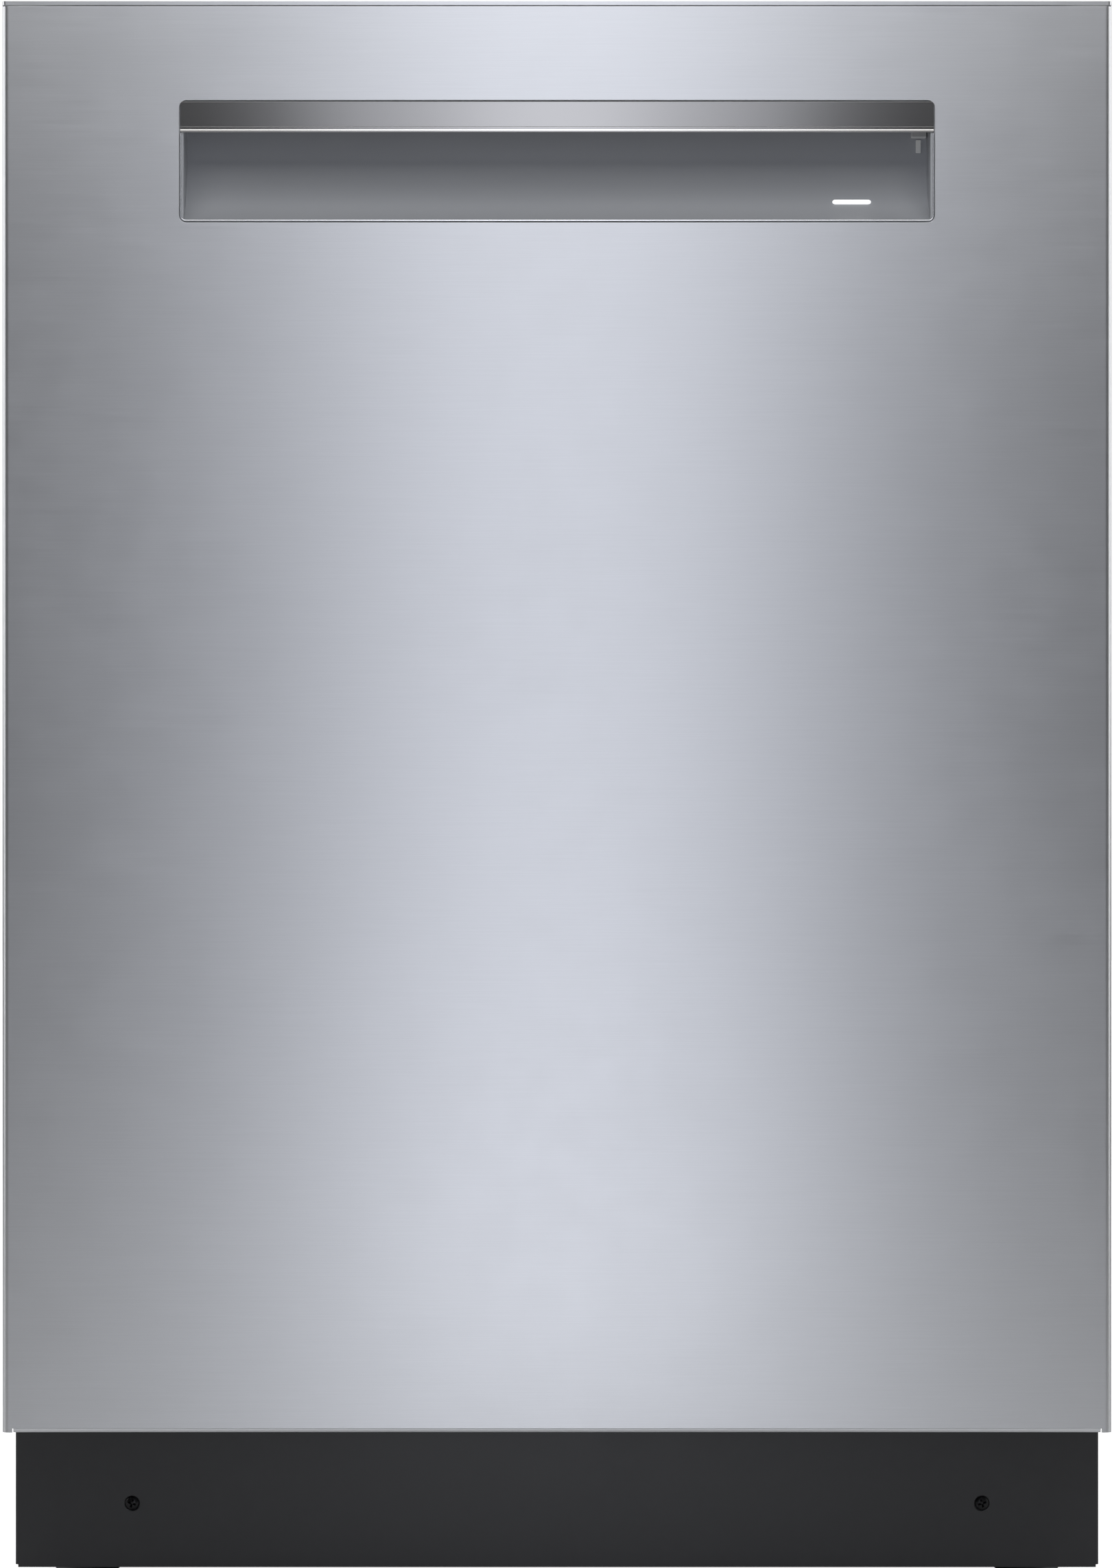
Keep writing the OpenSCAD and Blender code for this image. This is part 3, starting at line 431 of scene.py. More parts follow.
class Finish:
    # a material on one Principled shader, with helpers that place the shared groups

    def __init__(self, name, colour, metallic, roughness, **sockets):
        self.material = bpy.data.materials.new(name)
        self.material.use_nodes = True
        self.tree = self.material.node_tree
        self.shader = next(n for n in self.tree.nodes if n.type == "BSDF_PRINCIPLED")
        self.shader.inputs["Base Color"].default_value = (*colour, 1)
        self.shader.inputs["Metallic"].default_value = metallic
        self.shader.inputs["Roughness"].default_value = roughness
        for label, value in sockets.items():
            self.shader.inputs[label.replace("_", " ")].default_value = value
        self.place = self.tree.nodes.new("ShaderNodeTexCoord").outputs["Object"]

    def group(self, key, **values):
        node = self.tree.nodes.new("ShaderNodeGroup")
        node.node_tree = groups[key]
        self.tree.links.new(self.place, node.inputs["Vector"])
        for label, value in values.items():
            node.inputs[label].default_value = value
        return node.outputs

    def blendColour(self, mask, first, second, source=None):
        node = self.tree.nodes.new("ShaderNodeMix")
        node.data_type = "RGBA"
        self.tree.links.new(mask, node.inputs["Factor"])
        if source is None:
            node.inputs["A"].default_value = (*first, 1)
        else:
            self.tree.links.new(source, node.inputs["A"])
        node.inputs["B"].default_value = (*second, 1)
        self.tree.links.new(node.outputs["Result"], self.shader.inputs["Base Color"])
        return node.outputs["Result"]

    def range(self, mask, lowest, highest, socket="Roughness"):
        node = self.tree.nodes.new("ShaderNodeMapRange")
        self.tree.links.new(mask, node.inputs["Value"])
        node.inputs["To Min"].default_value = lowest
        node.inputs["To Max"].default_value = highest
        if socket:
            self.tree.links.new(node.outputs["Result"], self.shader.inputs[socket])
        return node.outputs["Result"]

    def bump(self, height, distance, strength=1.0):
        node = self.tree.nodes.new("ShaderNodeBump")
        node.inputs["Distance"].default_value = distance
        node.inputs["Strength"].default_value = strength
        self.tree.links.new(height, node.inputs["Height"])
        self.tree.links.new(node.outputs["Normal"], self.shader.inputs["Normal"])


def brushedFinish(name, colour, dark, rough, along=26, across=2400, contrast=1.0, bump=4e-6, wear=0.3):
    # metal whose streaks change colour, roughness and height together
    f = Finish(name, colour, 1.0, rough)
    g = f.group("brush", Along=along, Across=across, Contrast=contrast)
    f.blendColour(g["Streak"], dark, colour)
    marks = f.group("wear", Scale=6, Amount=wear)["Mask"]
    spread = f.range(g["Streak"], rough - 0.03, rough + 0.03, None)
    f.tree.links.new(mathNode(f.tree, "ADD", spread, mathNode(f.tree, "MULTIPLY", marks, 0.05)),
                     f.shader.inputs["Roughness"])
    f.bump(g["Streak"], bump)
    return f.material


def mouldedFinish(name, colour, rough, grain=1500, depth=1e-5, dust=0.15, wear=0.25, pale=0.35):
    # plastic with mould grain, paler where it is handled and dusty where it looks up
    f = Finish(name, colour, 0.0, rough)
    g = f.group("mould", Scale=grain)
    paler = tuple(c + (0.55 - c) * pale * 0.4 for c in colour)
    marks = f.group("wear", Scale=14, Amount=wear)["Mask"]
    worn = f.blendColour(marks, colour, paler)
    f.blendColour(f.group("dust", Amount=dust)["Mask"], colour, (0.5, 0.49, 0.47), worn)
    f.range(marks, rough, min(1, rough + 0.15))
    f.bump(g["Height"], depth, 0.6)
    return f.material


def zincFinish(name, colour, rough=0.38):
    # crystals of the zinc coat as cells, each with its own shade and gloss
    f = Finish(name, colour, 0.85, rough)
    cells = f.tree.nodes.new("ShaderNodeTexVoronoi")
    cells.inputs["Scale"].default_value = 170
    f.tree.links.new(f.place, cells.inputs["Vector"])
    split = f.tree.nodes.new("ShaderNodeSeparateColor")
    f.tree.links.new(cells.outputs["Color"], split.inputs[0])
    f.blendColour(split.outputs[0], tuple(c * 0.72 for c in colour), colour)
    f.range(split.outputs[1], rough - 0.1, rough + 0.15)
    f.bump(f.group("mould", Scale=900)["Height"], 6e-6, 0.4)
    return f.material


def feltFinish(name, colour):
    # tangled fibres as one fine noise in colour and height
    f = Finish(name, colour, 0.0, 0.95, Sheen_Weight=0.25)
    fibres = noiseNode(f.tree, f.place, 420.0, 8.0, 0.75)
    f.blendColour(fibres, tuple(c * 0.5 for c in colour), tuple(min(1, c * 1.9) for c in colour))
    f.bump(fibres, 4e-4, 0.7)
    return f.material


def rubberFinish(name, colour, rough=0.62):
    # dull, with greyer handled patches and settled dust
    f = Finish(name, colour, 0.0, rough)
    marks = f.group("wear", Scale=30, Amount=0.5)["Mask"]
    dusty = f.blendColour(marks, colour, tuple(c + 0.05 for c in colour))
    f.blendColour(f.group("dust", Amount=0.25)["Mask"], colour, (0.3, 0.3, 0.29), dusty)
    f.range(marks, rough - 0.08, rough + 0.12)
    f.bump(f.group("mould", Scale=2200)["Height"], 8e-6, 0.5)
    return f.material


def paintFinish(name, colour, rough):
    # thin coat with a slight orange peel
    f = Finish(name, colour, 0.0, rough, Coat_Weight=0.15, Coat_Roughness=0.35)
    peel = noiseNode(f.tree, f.place, 900.0, 2.0)
    marks = f.group("wear", Scale=9, Amount=0.4)["Mask"]
    f.blendColour(marks, colour, tuple(c * 1.35 + 0.002 for c in colour))
    f.range(marks, rough, rough + 0.1)
    f.bump(peel, 2.5e-5, 0.35)
    return f.material


def boardFinish(name):
    # green board with paler tracks
    f = Finish(name, (0.02, 0.16, 0.06), 0.0, 0.35, Coat_Weight=0.4)
    bricks = f.tree.nodes.new("ShaderNodeTexBrick")
    bricks.inputs["Scale"].default_value = 110
    bricks.inputs["Mortar Size"].default_value = 0.03
    f.tree.links.new(f.place, bricks.inputs["Vector"])
    f.blendColour(bricks.outputs["Fac"], (0.02, 0.16, 0.06), (0.12, 0.35, 0.14))
    f.range(bricks.outputs["Fac"], 0.3, 0.5)
    f.bump(bricks.outputs["Fac"], 2e-5, 0.6)
    return f.material


def lightFinish(name):
    # a lit milky window
    f = Finish(name, (0.95, 0.95, 0.95), 0.0, 0.3)
    glow = noiseNode(f.tree, f.place, 60.0)
    f.blendColour(glow, (0.93, 0.94, 0.95), (1, 1, 1))
    f.shader.inputs["Emission Color"].default_value = (1, 1, 1, 1)
    f.shader.inputs["Emission Strength"].default_value = 1.2
    f.range(glow, 0.25, 0.35)
    return f.material


def smokedFinish(name):
    # dark gloss with finger marks
    f = Finish(name, (0.012, 0.012, 0.014), 0.0, 0.08, Coat_Weight=0.5)
    marks = f.group("wear", Scale=12, Amount=0.6)["Mask"]
    f.blendColour(marks, (0.010, 0.010, 0.012), (0.03, 0.03, 0.034))
    f.range(marks, 0.06, 0.22)
    return f.material


finish = {
    "panel": brushedFinish("brushedPanelSteel", (0.725, 0.735, 0.755), (0.66, 0.67, 0.687), 0.345),
    "bright": brushedFinish("polishedBarSteel", (0.74, 0.75, 0.77), (0.70, 0.71, 0.73), 0.24, bump=1e-6, wear=0.1),
    # painted shade: the bar's steel gets a much darker colour than the panel's same steel, standing in for the
    # dimmer reflection its face shows
    "bar": brushedFinish("shadeDarkenedBarSteel", (0.415, 0.409, 0.400), (0.395, 0.389, 0.380), 0.188, contrast=0.3,
                         bump=2e-7,
                         wear=0.05),
    "tub": brushedFinish("drawnTubSteel", (0.66, 0.66, 0.67), (0.56, 0.56, 0.57), 0.34, 18, 900, 0.8, 3e-6, 0.5),
    "zinc": zincFinish("galvanisedSteel", (0.56, 0.57, 0.58)),
    "spring": brushedFinish("springWire", (0.45, 0.45, 0.46), (0.33, 0.33, 0.34), 0.32, 300, 3000, 1.0, 3e-6, 0.6),
    "kick": paintFinish("blackKickPaint", (0.020, 0.020, 0.022), 0.33),
    "screw": zincFinish("blackScrewSteel", (0.03, 0.03, 0.031), 0.35),
    "base": mouldedFinish("baseMoulding", (0.055, 0.056, 0.06), 0.6, 900, 3e-5, 0.3),
    "pocket": mouldedFinish("pocketMoulding", (0.36, 0.37, 0.39), 0.42, 2600, 4e-6, 0.05, 0.15),
    "grey": mouldedFinish("greyMoulding", (0.25, 0.26, 0.28), 0.42, 1700, 1e-5, 0.05),
    "pale": mouldedFinish("paleGreyMoulding", (0.45, 0.46, 0.48), 0.4, 1700, 1e-5, 0.05),
    "dark": mouldedFinish("darkMoulding", (0.055, 0.058, 0.065), 0.45, 1400, 1.5e-5, 0.2),
    "white": mouldedFinish("whiteMoulding", (0.78, 0.78, 0.76), 0.35, 1500, 8e-6, 0.1, 0.2, 0.0),
    "blue": mouldedFinish("blueCapMoulding", (0.09, 0.22, 0.42), 0.35, 1500, 8e-6, 0.0),
    "rack": mouldedFinish("rackMoulding", (0.20, 0.215, 0.24), 0.45, 1600, 1e-5, 0.02),
    "wire": mouldedFinish("nylonCoatedWire", (0.33, 0.35, 0.385), 0.4, 2600, 5e-6, 0.02, 0.3),
    "rubber": rubberFinish("sealRubber", (0.022, 0.022, 0.023)),
    "hose": rubberFinish("hoseRubber", (0.035, 0.035, 0.037), 0.5),
    "felt": feltFinish("bitumenFelt", (0.075, 0.078, 0.085)),
    "wool": feltFinish("fibreInsulation", (0.16, 0.155, 0.14)),
    "board": boardFinish("circuitBoard"),
    "light": lightFinish("statusWindow"),
    "smoked": smokedFinish("smokedWindow"),
}
print("finishes ready:", len(finish))


# door: skin, bar, pocket and status light
doorSize = {
    "x": 0.299, "z0": 0.089, "z1": 0.8575, "sheet": 1.2 * mm, "fold": 3.5 * mm, "flange": 38 * mm,
    "hemRadius": 2.2 * mm, "hemBack": 11 * mm, "cornerX": 0.2935,
    "gripX": 0.2036, "gripZ0": 0.7409, "gripZ1": 0.8067, "gripRadius": 3.9 * mm,
}


def doorSkin(d):
    # plan outline: outer face of front, two quarter-circle folds and flanges, then the same path one sheet inside
    x, y, r, t, back = d["x"], faceY, d["fold"], d["sheet"], faceY + d["flange"]
    outer = np.concatenate([[(-x, back)], arc((-x + r, y + r), r, 180, 270, 10),
                            arc((x - r, y + r), r, 270, 360, 10), [(x, back)]])
    ri = r - t
    inner = np.concatenate([[(x - t, back)], arc((x - r, y + r), ri, 360, 270, 10),
                            arc((-x + r, y + r), ri, 270, 180, 10), [(-x + t, back)]])
    shell = rawPiece("doorSkin", [prism(np.concatenate([outer, inner]), d["z0"], d["z1"], 2)])
    hole = roundRect((-d["gripX"], d["gripX"]), (d["gripZ0"], d["gripZ1"]), d["gripRadius"], 10)
    c, low0 = d["cornerX"], d["z0"]
    cut(shell, [prism(hole, y - 5 * mm, y + 5 * mm, 1)])
    cut(shell, [block((-c, c), (y - 5 * mm, y + t + 0.05 * mm), (low0 - 5 * mm, low0 + d["hemRadius"]))])
    return shell


def doorHem(d):
    # the lower edge in side view: a quarter circle from the face to the underside, carried straight across
    y, z, r, t = faceY, d["z0"], d["hemRadius"], d["sheet"]
    outer = np.concatenate([arc((y + r, z + r), r, 180, 270, 8), [(y + d["hemBack"], z)]])
    inner = np.concatenate([[(y + d["hemBack"], z + t)], arc((y + r, z + r), r - t, 270, 180, 8)])
    return prism(np.concatenate([outer, inner]), -d["cornerX"] + 0.5 * mm, d["cornerX"] - 0.5 * mm, 0)


shell = doorSkin(doorSize)
hemPoints, hemFaces = doorHem(doorSize)
hem = rawPiece("hem", [(hemPoints, hemFaces)])
finishPiece(shell, finish["panel"], "door", ["outer_panel"], bevel=0.25 * mm, fix=False)
finishPiece(hem, finish["panel"], "door", (), smooth=40)

barSize = {"x": 0.2031, "z0": 0.7894, "z1": 0.8059, "front": faceY + 0.2 * mm, "back": faceY + 3.4 * mm,
           "lip": 0.85 * mm, "groove": 0.25 * mm, "edge": 0.15 * mm}


def handleBar(b):
    # side view: flat face, a shallow groove above the lip, a half-round lip, then the back
    y, z, r = b["front"], b["z0"], b["lip"]
    top = arc((y + b["edge"], b["z1"] - b["edge"]), b["edge"], 90, 180, 5)
    lip = arc((y + r, z + r), r, 150, 360, 16)
    profile = np.concatenate([
        [(b["back"], b["z1"])], top, [(y, z + 3.1 * mm), (y + b["groove"], z + 2.9 * mm),
                                      (y + b["groove"], z + 1.8 * mm)],
        lip, [(b["back"], z + r + 0.2 * mm)]])
    return prism(profile, -b["x"], b["x"], 0)


# the bar and its lip wear the darkened steel, painted shade for the bar's dimmer reflection
makePiece("handleBar", [handleBar(barSize)], finish["bar"], "door", ["handle_bar"], smooth=32,
          bevel=0.08 * mm)

pocketSize = {"x": 0.2031, "wall": 1.8 * mm, "front": faceY + 1.25 * mm, "back": faceY + 34.25 * mm, "low": 0.7414,
              "rise": 38 * mm, "start": 22.0, "top": 0.8127}


def scoopLine(p, count=26):
    # quarter of an ellipse from the lower lip back and up to the flat rear wall
    a = np.radians(np.linspace(p["start"], 90, count))
    s = math.sin(math.radians(p["start"]))
    c = math.cos(math.radians(p["start"]))
    y = p["front"] + (p["back"] - p["front"]) * (np.sin(a) - s) / (1 - s)
    z = p["low"] + p["rise"] * (1 - np.cos(a) / c)
    return np.stack([y, z], -1)


def pocketBody(p):
    # the hollow's side view carried across between the end walls, with its outside a plain box
    hollow = np.concatenate([scoopLine(p), [(p["back"], p["top"] - 4 * mm)],
                             arc((p["back"] - 3 * mm, p["top"] - 3 * mm), 3 * mm, 0, 90, 6),
                             [(p["front"] - 1 * mm, p["top"])]])
    front = [(p["front"] - 1 * mm, p["low"])]
    inside = p["x"] - p["wall"]
    out = block((-p["x"] - 2.4 * mm, p["x"] + 2.4 * mm), (p["front"], p["back"] + 1.7 * mm),
                (p["low"] - 2.4 * mm, p["top"] + 2 * mm))
    shell = rawPiece("pocketShell", [out])
    return cut(shell, [prism(np.concatenate([front, hollow]), -inside, inside, 0)])


pocket = pocketBody(pocketSize)
finishPiece(pocket, finish["pocket"], "door", ["handle_pocket"], bevel=0.45 * mm, fix=False)


def pocketTrim(p):
    # rolled steel edge at the lower lip and down both sides below the bar: a small half-round strip
    x, y, r = p["x"] - 0.2 * mm, faceY + 0.75 * mm, 0.5 * mm
    z = p["low"] + 0.62 * mm
    path = filleted([(-x, y, 0.7890), (-x, y, z), (x, y, z), (x, y, 0.7890)], 3.2 * mm, count=8)
    return tube(path, r, 8)


makePiece("pocketEdge", [pocketTrim(pocketSize)], finish["bright"], "door", (), smooth=60)

clip = {"x": 0.1966, "width": 2.8 * mm, "z": (0.7815, 0.7885), "thick": 1.6 * mm}


def barClip(c):
    # a short tongue with a gusset above it, standing off the pocket's rear wall
    y = pocketSize["back"]
    tongue = block((c["x"] - c["width"] / 2, c["x"] + c["width"] / 2), (y - c["thick"], y + 0.3 * mm), c["z"])
    gusset = prism([(y + 0.3 * mm, 0.7895), (y - 8 * mm, 0.7895), (y - 2 * mm, 0.7995), (y + 0.3 * mm, 0.8005)],
                   c["x"] - 4 * mm, c["x"] + 4 * mm, 0)
    return [tongue, gusset]


makePiece("barClip", barClip(clip), finish["white"], "door", (), bevel=0.3 * mm)

lightSize = {"x": 0.1598, "long": 20.7 * mm, "wide": 3.0 * mm, "up": 12.3 * mm}


def statusBar(s):
    # a stadium pushed out of the scoop: its rings follow the scoop's own slope, the last one drawn in
    line = scoopLine(pocketSize, 80)
    k = int(np.argmin(np.abs(line[:, 1] - pocketSize["low"] - s["up"])))
    along = line[k + 1] - line[k - 1]
    along /= np.linalg.norm(along)
    out = np.array([-along[1], along[0]])
    if out[1] < 0:
        out = -out
    r = s["wide"] / 2
    flat = np.concatenate([arc((s["long"] / 2 - r, 0), r, -90, 90, 10),
                           arc((-s["long"] / 2 + r, 0), r, 90, 270, 10)])
    loops = []
    for lift, shrink in ((-0.3 * mm, 0), (0.5 * mm, 0), (0.8 * mm, 0.3 * mm), (0.9 * mm, 0.8 * mm)):
        f = flat * (1 - shrink / r * np.array([r / (s["long"] / 2), 1.0]))
        loops.append(np.stack([s["x"] + f[:, 0], line[k, 0] + f[:, 1] * along[0] + lift * out[0],
                               line[k, 1] + f[:, 1] * along[1] + lift * out[1]], -1))
    return loopSkin(loops)


makePiece("statusBar", [statusBar(lightSize)], finish["light"], "door", ["status_light"], smooth=50)
print("door face done")

# kick plate and its screws
kickSize = {"x": 0.2986, "z0": 6.8 * mm, "z1": 98.8 * mm, "y": faceY + 79.5 * mm, "sheet": 1.2 * mm,
            "notch": 1.5 * mm, "bend": 1.6 * mm, "flange": 14 * mm, "screwX": 0.2343, "screwZ": 42 * mm,
            "dimple": 4.6 * mm, "sink": 1.0 * mm, "cornerX": 0.280, "cornerZ": 0.090}


def kickFront(k):
    # plan outline of a folded sheet carried up; its corners are cut back and a round hole is left for each dimple
    x, y, t = k["x"], k["y"], k["sheet"]
    plan = np.concatenate([[(-x, y + k["flange"])], arc((-x + k["bend"], y + k["bend"]), k["bend"], 180, 270, 8),
                           arc((x - k["bend"], y + k["bend"]), k["bend"], 270, 360, 8), [(x, y + k["flange"])],
                           [(x - t, y + k["flange"])],
                           arc((x - k["bend"], y + k["bend"]), k["bend"] - t, 360, 270, 8),
                           arc((-x + k["bend"], y + k["bend"]), k["bend"] - t, 270, 180, 8),
                           [(-x + t, y + k["flange"])]])
    plate = rawPiece("kickPlate", [prism(plan, k["z0"], k["z1"], 2)])
    n, c = k["notch"], k["cornerX"]
    tools = []
    for s in (-1, 1):
        tools.append(block(sorted((s * (x - n), s * (x + 5 * mm))), (y - 5 * mm, y + 30 * mm),
                           (k["z0"] - 5 * mm, k["z0"] + n)))
        tools.append(block(sorted((s * c, s * (x + 5 * mm))), (y - 5 * mm, y + 30 * mm),
                           (k["cornerZ"], k["z1"] + 5 * mm)))
        tools.append(turnedSolid([(1e-5, y - 5 * mm), (k["dimple"], y - 5 * mm), (k["dimple"], y + 5 * mm),
                                  (1e-5, y + 5 * mm)],
                                 (s * k["screwX"], 0, k["screwZ"]), 1, 40))
    return cut(plate, tools)


def dimpleRing(k, side):
    # bowl: radius runs in from the rim while depth follows half a cosine; its back is one sheet behind
    r = np.linspace(k["dimple"] + 0.05 * mm, 2.6 * mm, 9)
    u = (r[0] - r) / (r[0] - r[-1])
    depth = k["sink"] * (1 - np.cos(np.pi * u)) / 2
    front = np.stack([r, k["y"] + depth], -1)
    back = np.stack([r, k["y"] + depth + k["sheet"]], -1)[::-1]
    return turned(np.concatenate([front, back]), (side * k["screwX"], 0, k["screwZ"]), 1, 40)


plate = kickFront(kickSize)
lipTop = block((-0.2686, 0.2686), (kickSize["y"], kickSize["y"] + 9 * mm),
               (97.6 * mm, kickSize["z1"]))  # turned-back upper edge
finishPiece(plate, finish["kick"], "cabinet", ["kick_plate"], bevel=0.25 * mm, fix=False)
makePiece("kickPlateTrim", [dimpleRing(kickSize, -1), dimpleRing(kickSize, 1), lipTop], finish["kick"], "cabinet",
          (),
          smooth=60)


def crossHead(k, side):
    # pan head: a shallow dome turned about the screw's axis, then a cross of four tapered slots cut in
    y = k["y"] + 0.35 * mm
    a = np.radians(np.linspace(0, 78, 9))
    dome = np.stack([3.9 * mm * np.sin(a), y - 1.9 * mm * np.cos(a)], -1)
    dome[0, 0] = 1e-5
    profile = np.concatenate([dome, [(3.9 * mm, y), (3.6 * mm, y + 0.5 * mm), (2.45 * mm, y + 0.5 * mm),
                                     (2.45 * mm, y + 20 * mm),
                                     (1e-5, y + 20.6 * mm)]])
    head = rawPiece("kickScrew", [turnedSolid(profile, (side * k["screwX"], 0, k["screwZ"]), 1, 36)])
    tools = []
    turn = math.radians(18 * side)
    for q in (0, 90):
        a = math.radians(q) + turn
        u, v = np.array([math.cos(a), math.sin(a)]), np.array([-math.sin(a), math.cos(a)])
        loops = []
        for depth, wide, long in ((-3 * mm, 0.62 * mm, 2.6 * mm), (-1.2 * mm, 0.55 * mm, 2.2 * mm),
                                  (0.4 * mm, 0.3 * mm, 0.8 * mm)):
            f = [u * long + v * wide, -u * long + v * wide, -u * long - v * wide, u * long - v * wide]
            loops.append([(side * k["screwX"] + g[0], y + depth, k["screwZ"] + g[1]) for g in f])
        tools.append(loopSkin(loops))
    for tool in tools:
        cut(head, [tool])
    return head


screws = [crossHead(kickSize, s) for s in (-1, 1)]
for side, head in zip(("Left", "Right"), screws):
    head.name = "kickScrew" + side
    finishPiece(head, finish["screw"], "cabinet", ["kick_screws"] if side == "Left" else (),
                smooth=45, fix=False)
print("kick plate done")


# tub, door seal and felt
tubSize = {"x": 0.2822, "z0": 0.1528, "z1": 0.8352, "y0": -0.2375, "y1": 0.2715, "corner": 26 * mm, "back": 14 * mm,
           "ledge": 0.1698, "ledgeX": 0.2532, "sheet": 0.8 * mm, "flange": 8 * mm, "sumpX": 0.0865,
           "sumpY": (-0.127, 0.107)}


def tubOutline(t, grow):
    # flat floor, a riser to each wheel ledge, straight sides and a roof with round corners, all moved out by grow
    x, z0, z1, r = t["x"] + grow, t["z0"] - grow, t["z1"] + grow, t["corner"] + grow
    lx, lz, s = t["ledgeX"] + grow, t["ledge"] - grow, 3 * mm
    right = np.concatenate([
        arc((lx - s, z0 + s), s, -90, 0, 5), arc((lx + s, lz - s), s, 180, 90, 5),
        arc((x - s, lz + s), s, -90, 0, 4),
        [(x, lz + (z1 - lz) * f) for f in (0.3, 0.6)], arc((x - r, z1 - r), r, 0, 90, 10)])
    left = right[::-1] * (-1, 1)
    return np.concatenate([right, left])


def tubShell(t):
    # a deep pressed box with a turned-out flange: inner loops from the back wall forward, then outer loops back
    # again
    def ring(grow, y):
        return flatLoop(tubOutline(t, grow), y)
    b, s = t["back"], t["sheet"]
    loops = [ring(-b * (1 - math.sin(a)), t["y1"] - b * (1 - math.cos(a))) for a in np.linspace(0.12, math.pi / 2,
                                                                                                7)]
    loops += [ring(0, t["y0"] + (t["y1"] - b - t["y0"]) * f) for f in (0.66, 0.33, 0.01)]
    loops += [ring(0.4 * mm, t["y0"] + 0.4 * mm), ring(1.2 * mm, t["y0"]), ring(t["flange"], t["y0"]),
              ring(t["flange"], t["y0"] + 1.1 * mm), ring(s + 0.4 * mm, t["y0"] + 1.1 * mm)]
    loops += [ring(s, t["y0"] + (t["y1"] - b - t["y0"]) * f) for f in (0.02, 0.5, 1.0)]
    loops += [ring(s - (b + s) * (1 - math.sin(a)), t["y1"] + s - (b + s) * (1 - math.cos(a)))
              for a in np.linspace(math.pi / 2 - 0.2, 0.12, 7)]
    return loopSkin(loops)


tub = rawPiece("tubShell", [tubShell(tubSize)])
cut(tub, [block((-tubSize["sumpX"], tubSize["sumpX"]), tubSize["sumpY"], (0.14, 0.165))])
finishPiece(tub, finish["tub"], "cabinet", ["tub_wrapper", "tub_back_wall", "tub_floor"], smooth=40,
            fix=False,
            even=True)


sealSize = {"x": (0.2835, 0.2868), "y": -0.23932, "z": (0.157, 0.8315), "corner": 22 * mm, "bead": 1.72 * mm}


def sealBeads(b):
    # two soft beads side by side round the mouth of the tub
    parts = []
    for off in b["x"]:
        grow = off - tubSize["x"]
        path = flatLoop(roundRect((-off, off), (b["z"][0] - grow, b["z"][1] + grow), b["corner"] + grow, 10),
                        b["y"])
        keep = np.linalg.norm(np.roll(path, -1, 0) - path, axis=1) > 1e-6
        parts.append(tube(path[keep], b["bead"], 8, closed=True))
    return parts


makePiece("doorSeal", sealBeads(sealSize), finish["rubber"], "cabinet", ["door_seal"], smooth=60)


feltSize = {"gap": 3.9 * mm, "half": 2.8 * mm, "y": (-0.190, 0.2685), "foot": 0.162, "backX": 0.280,
            "backY": 0.2755, "backZ": (0.161, 0.831)}
woolSize = {"x": 0.274, "y": -0.2795, "z": (0.130, 0.726), "half": 11.5 * mm, "cell": 0.11}


def quiltedSheet(path, outward, across, span, half, rows=48, cell=0.085, pinch=0.25):
    # a soft sheet: its middle follows a path, and its half thickness swells between stitched lines and thins at its
    # edges
    path, outward = np.asarray(path, float), np.asarray(outward, float)
    step = np.concatenate([[0], np.cumsum(np.linalg.norm(np.diff(path, axis=0), axis=1))])
    v = np.linspace(0, 1, rows)
    edge = np.minimum(1, np.minimum(v, 1 - v) * (span[1] - span[0]) / (half * 2.2)) ** 0.5
    ends = np.minimum(1, np.minimum(step, step[-1] - step) / (half * 2.2)) ** 0.5
    quilt = 1 - pinch * np.exp(-((np.mod(step / cell, 1) - 0.5) / 0.09) ** 2)[:, None] * np.ones(rows)
    quilt = quilt * (1 - pinch * np.exp(-((np.mod(v * (span[1] - span[0]) / cell, 1) - 0.5) / 0.09) ** 2))
    h = half * quilt * (0.12 + 0.88 * edge[None, :] * ends[:, None])
    base = path[:, None] + np.asarray(across)[None, None] * (span[0] + v[None, :, None] * (span[1] - span[0]))
    top = base + outward[:, None] * h[..., None]
    bottom = base - outward[:, None] * h[..., None]
    rings = np.concatenate([top, bottom[:, ::-1]], axis=1)
    return loopSkin(list(rings))


def flatQuilt(x, y, z, half, columns, rows, cell=0.085):
    # the same sheet on a straight path across the machine, facing the rear
    path = np.stack([np.linspace(-x, x, columns), np.full(columns, y), np.zeros(columns)], -1)
    return quiltedSheet(path, np.tile([0.0, 1.0, 0.0], (columns, 1)), (0, 0, 1), z, half, rows, cell)


def wrapPath(t, gap, foot):
    # up one side of the tub, over its roof and down the other, a constant gap away, with the direction it faces
    x, z1, r = t["x"] + gap, t["z1"] + gap, t["corner"] + gap
    side = np.linspace(foot, z1 - r, 34)[:-1]
    corner = arc((x - r, z1 - r), r, 0, 90, 9)
    right = np.concatenate([np.stack([np.full(len(side), x), side], -1), corner])
    rightOut = np.concatenate([np.tile([1.0, 0.0], (len(side), 1)), arc((0, 0), 1.0, 0, 90, 9)])
    top = np.linspace(x - r, -(x - r), 40)[1:-1]
    flat = np.stack([top, np.full(len(top), z1)], -1)
    points = np.concatenate([right, flat, right[::-1] * (-1, 1)])
    out = np.concatenate([rightOut, np.tile([0.0, 1.0], (len(top), 1)), rightOut[::-1] * (-1, 1)])
    return flatLoop(points, 0.0), flatLoop(out, 0.0)


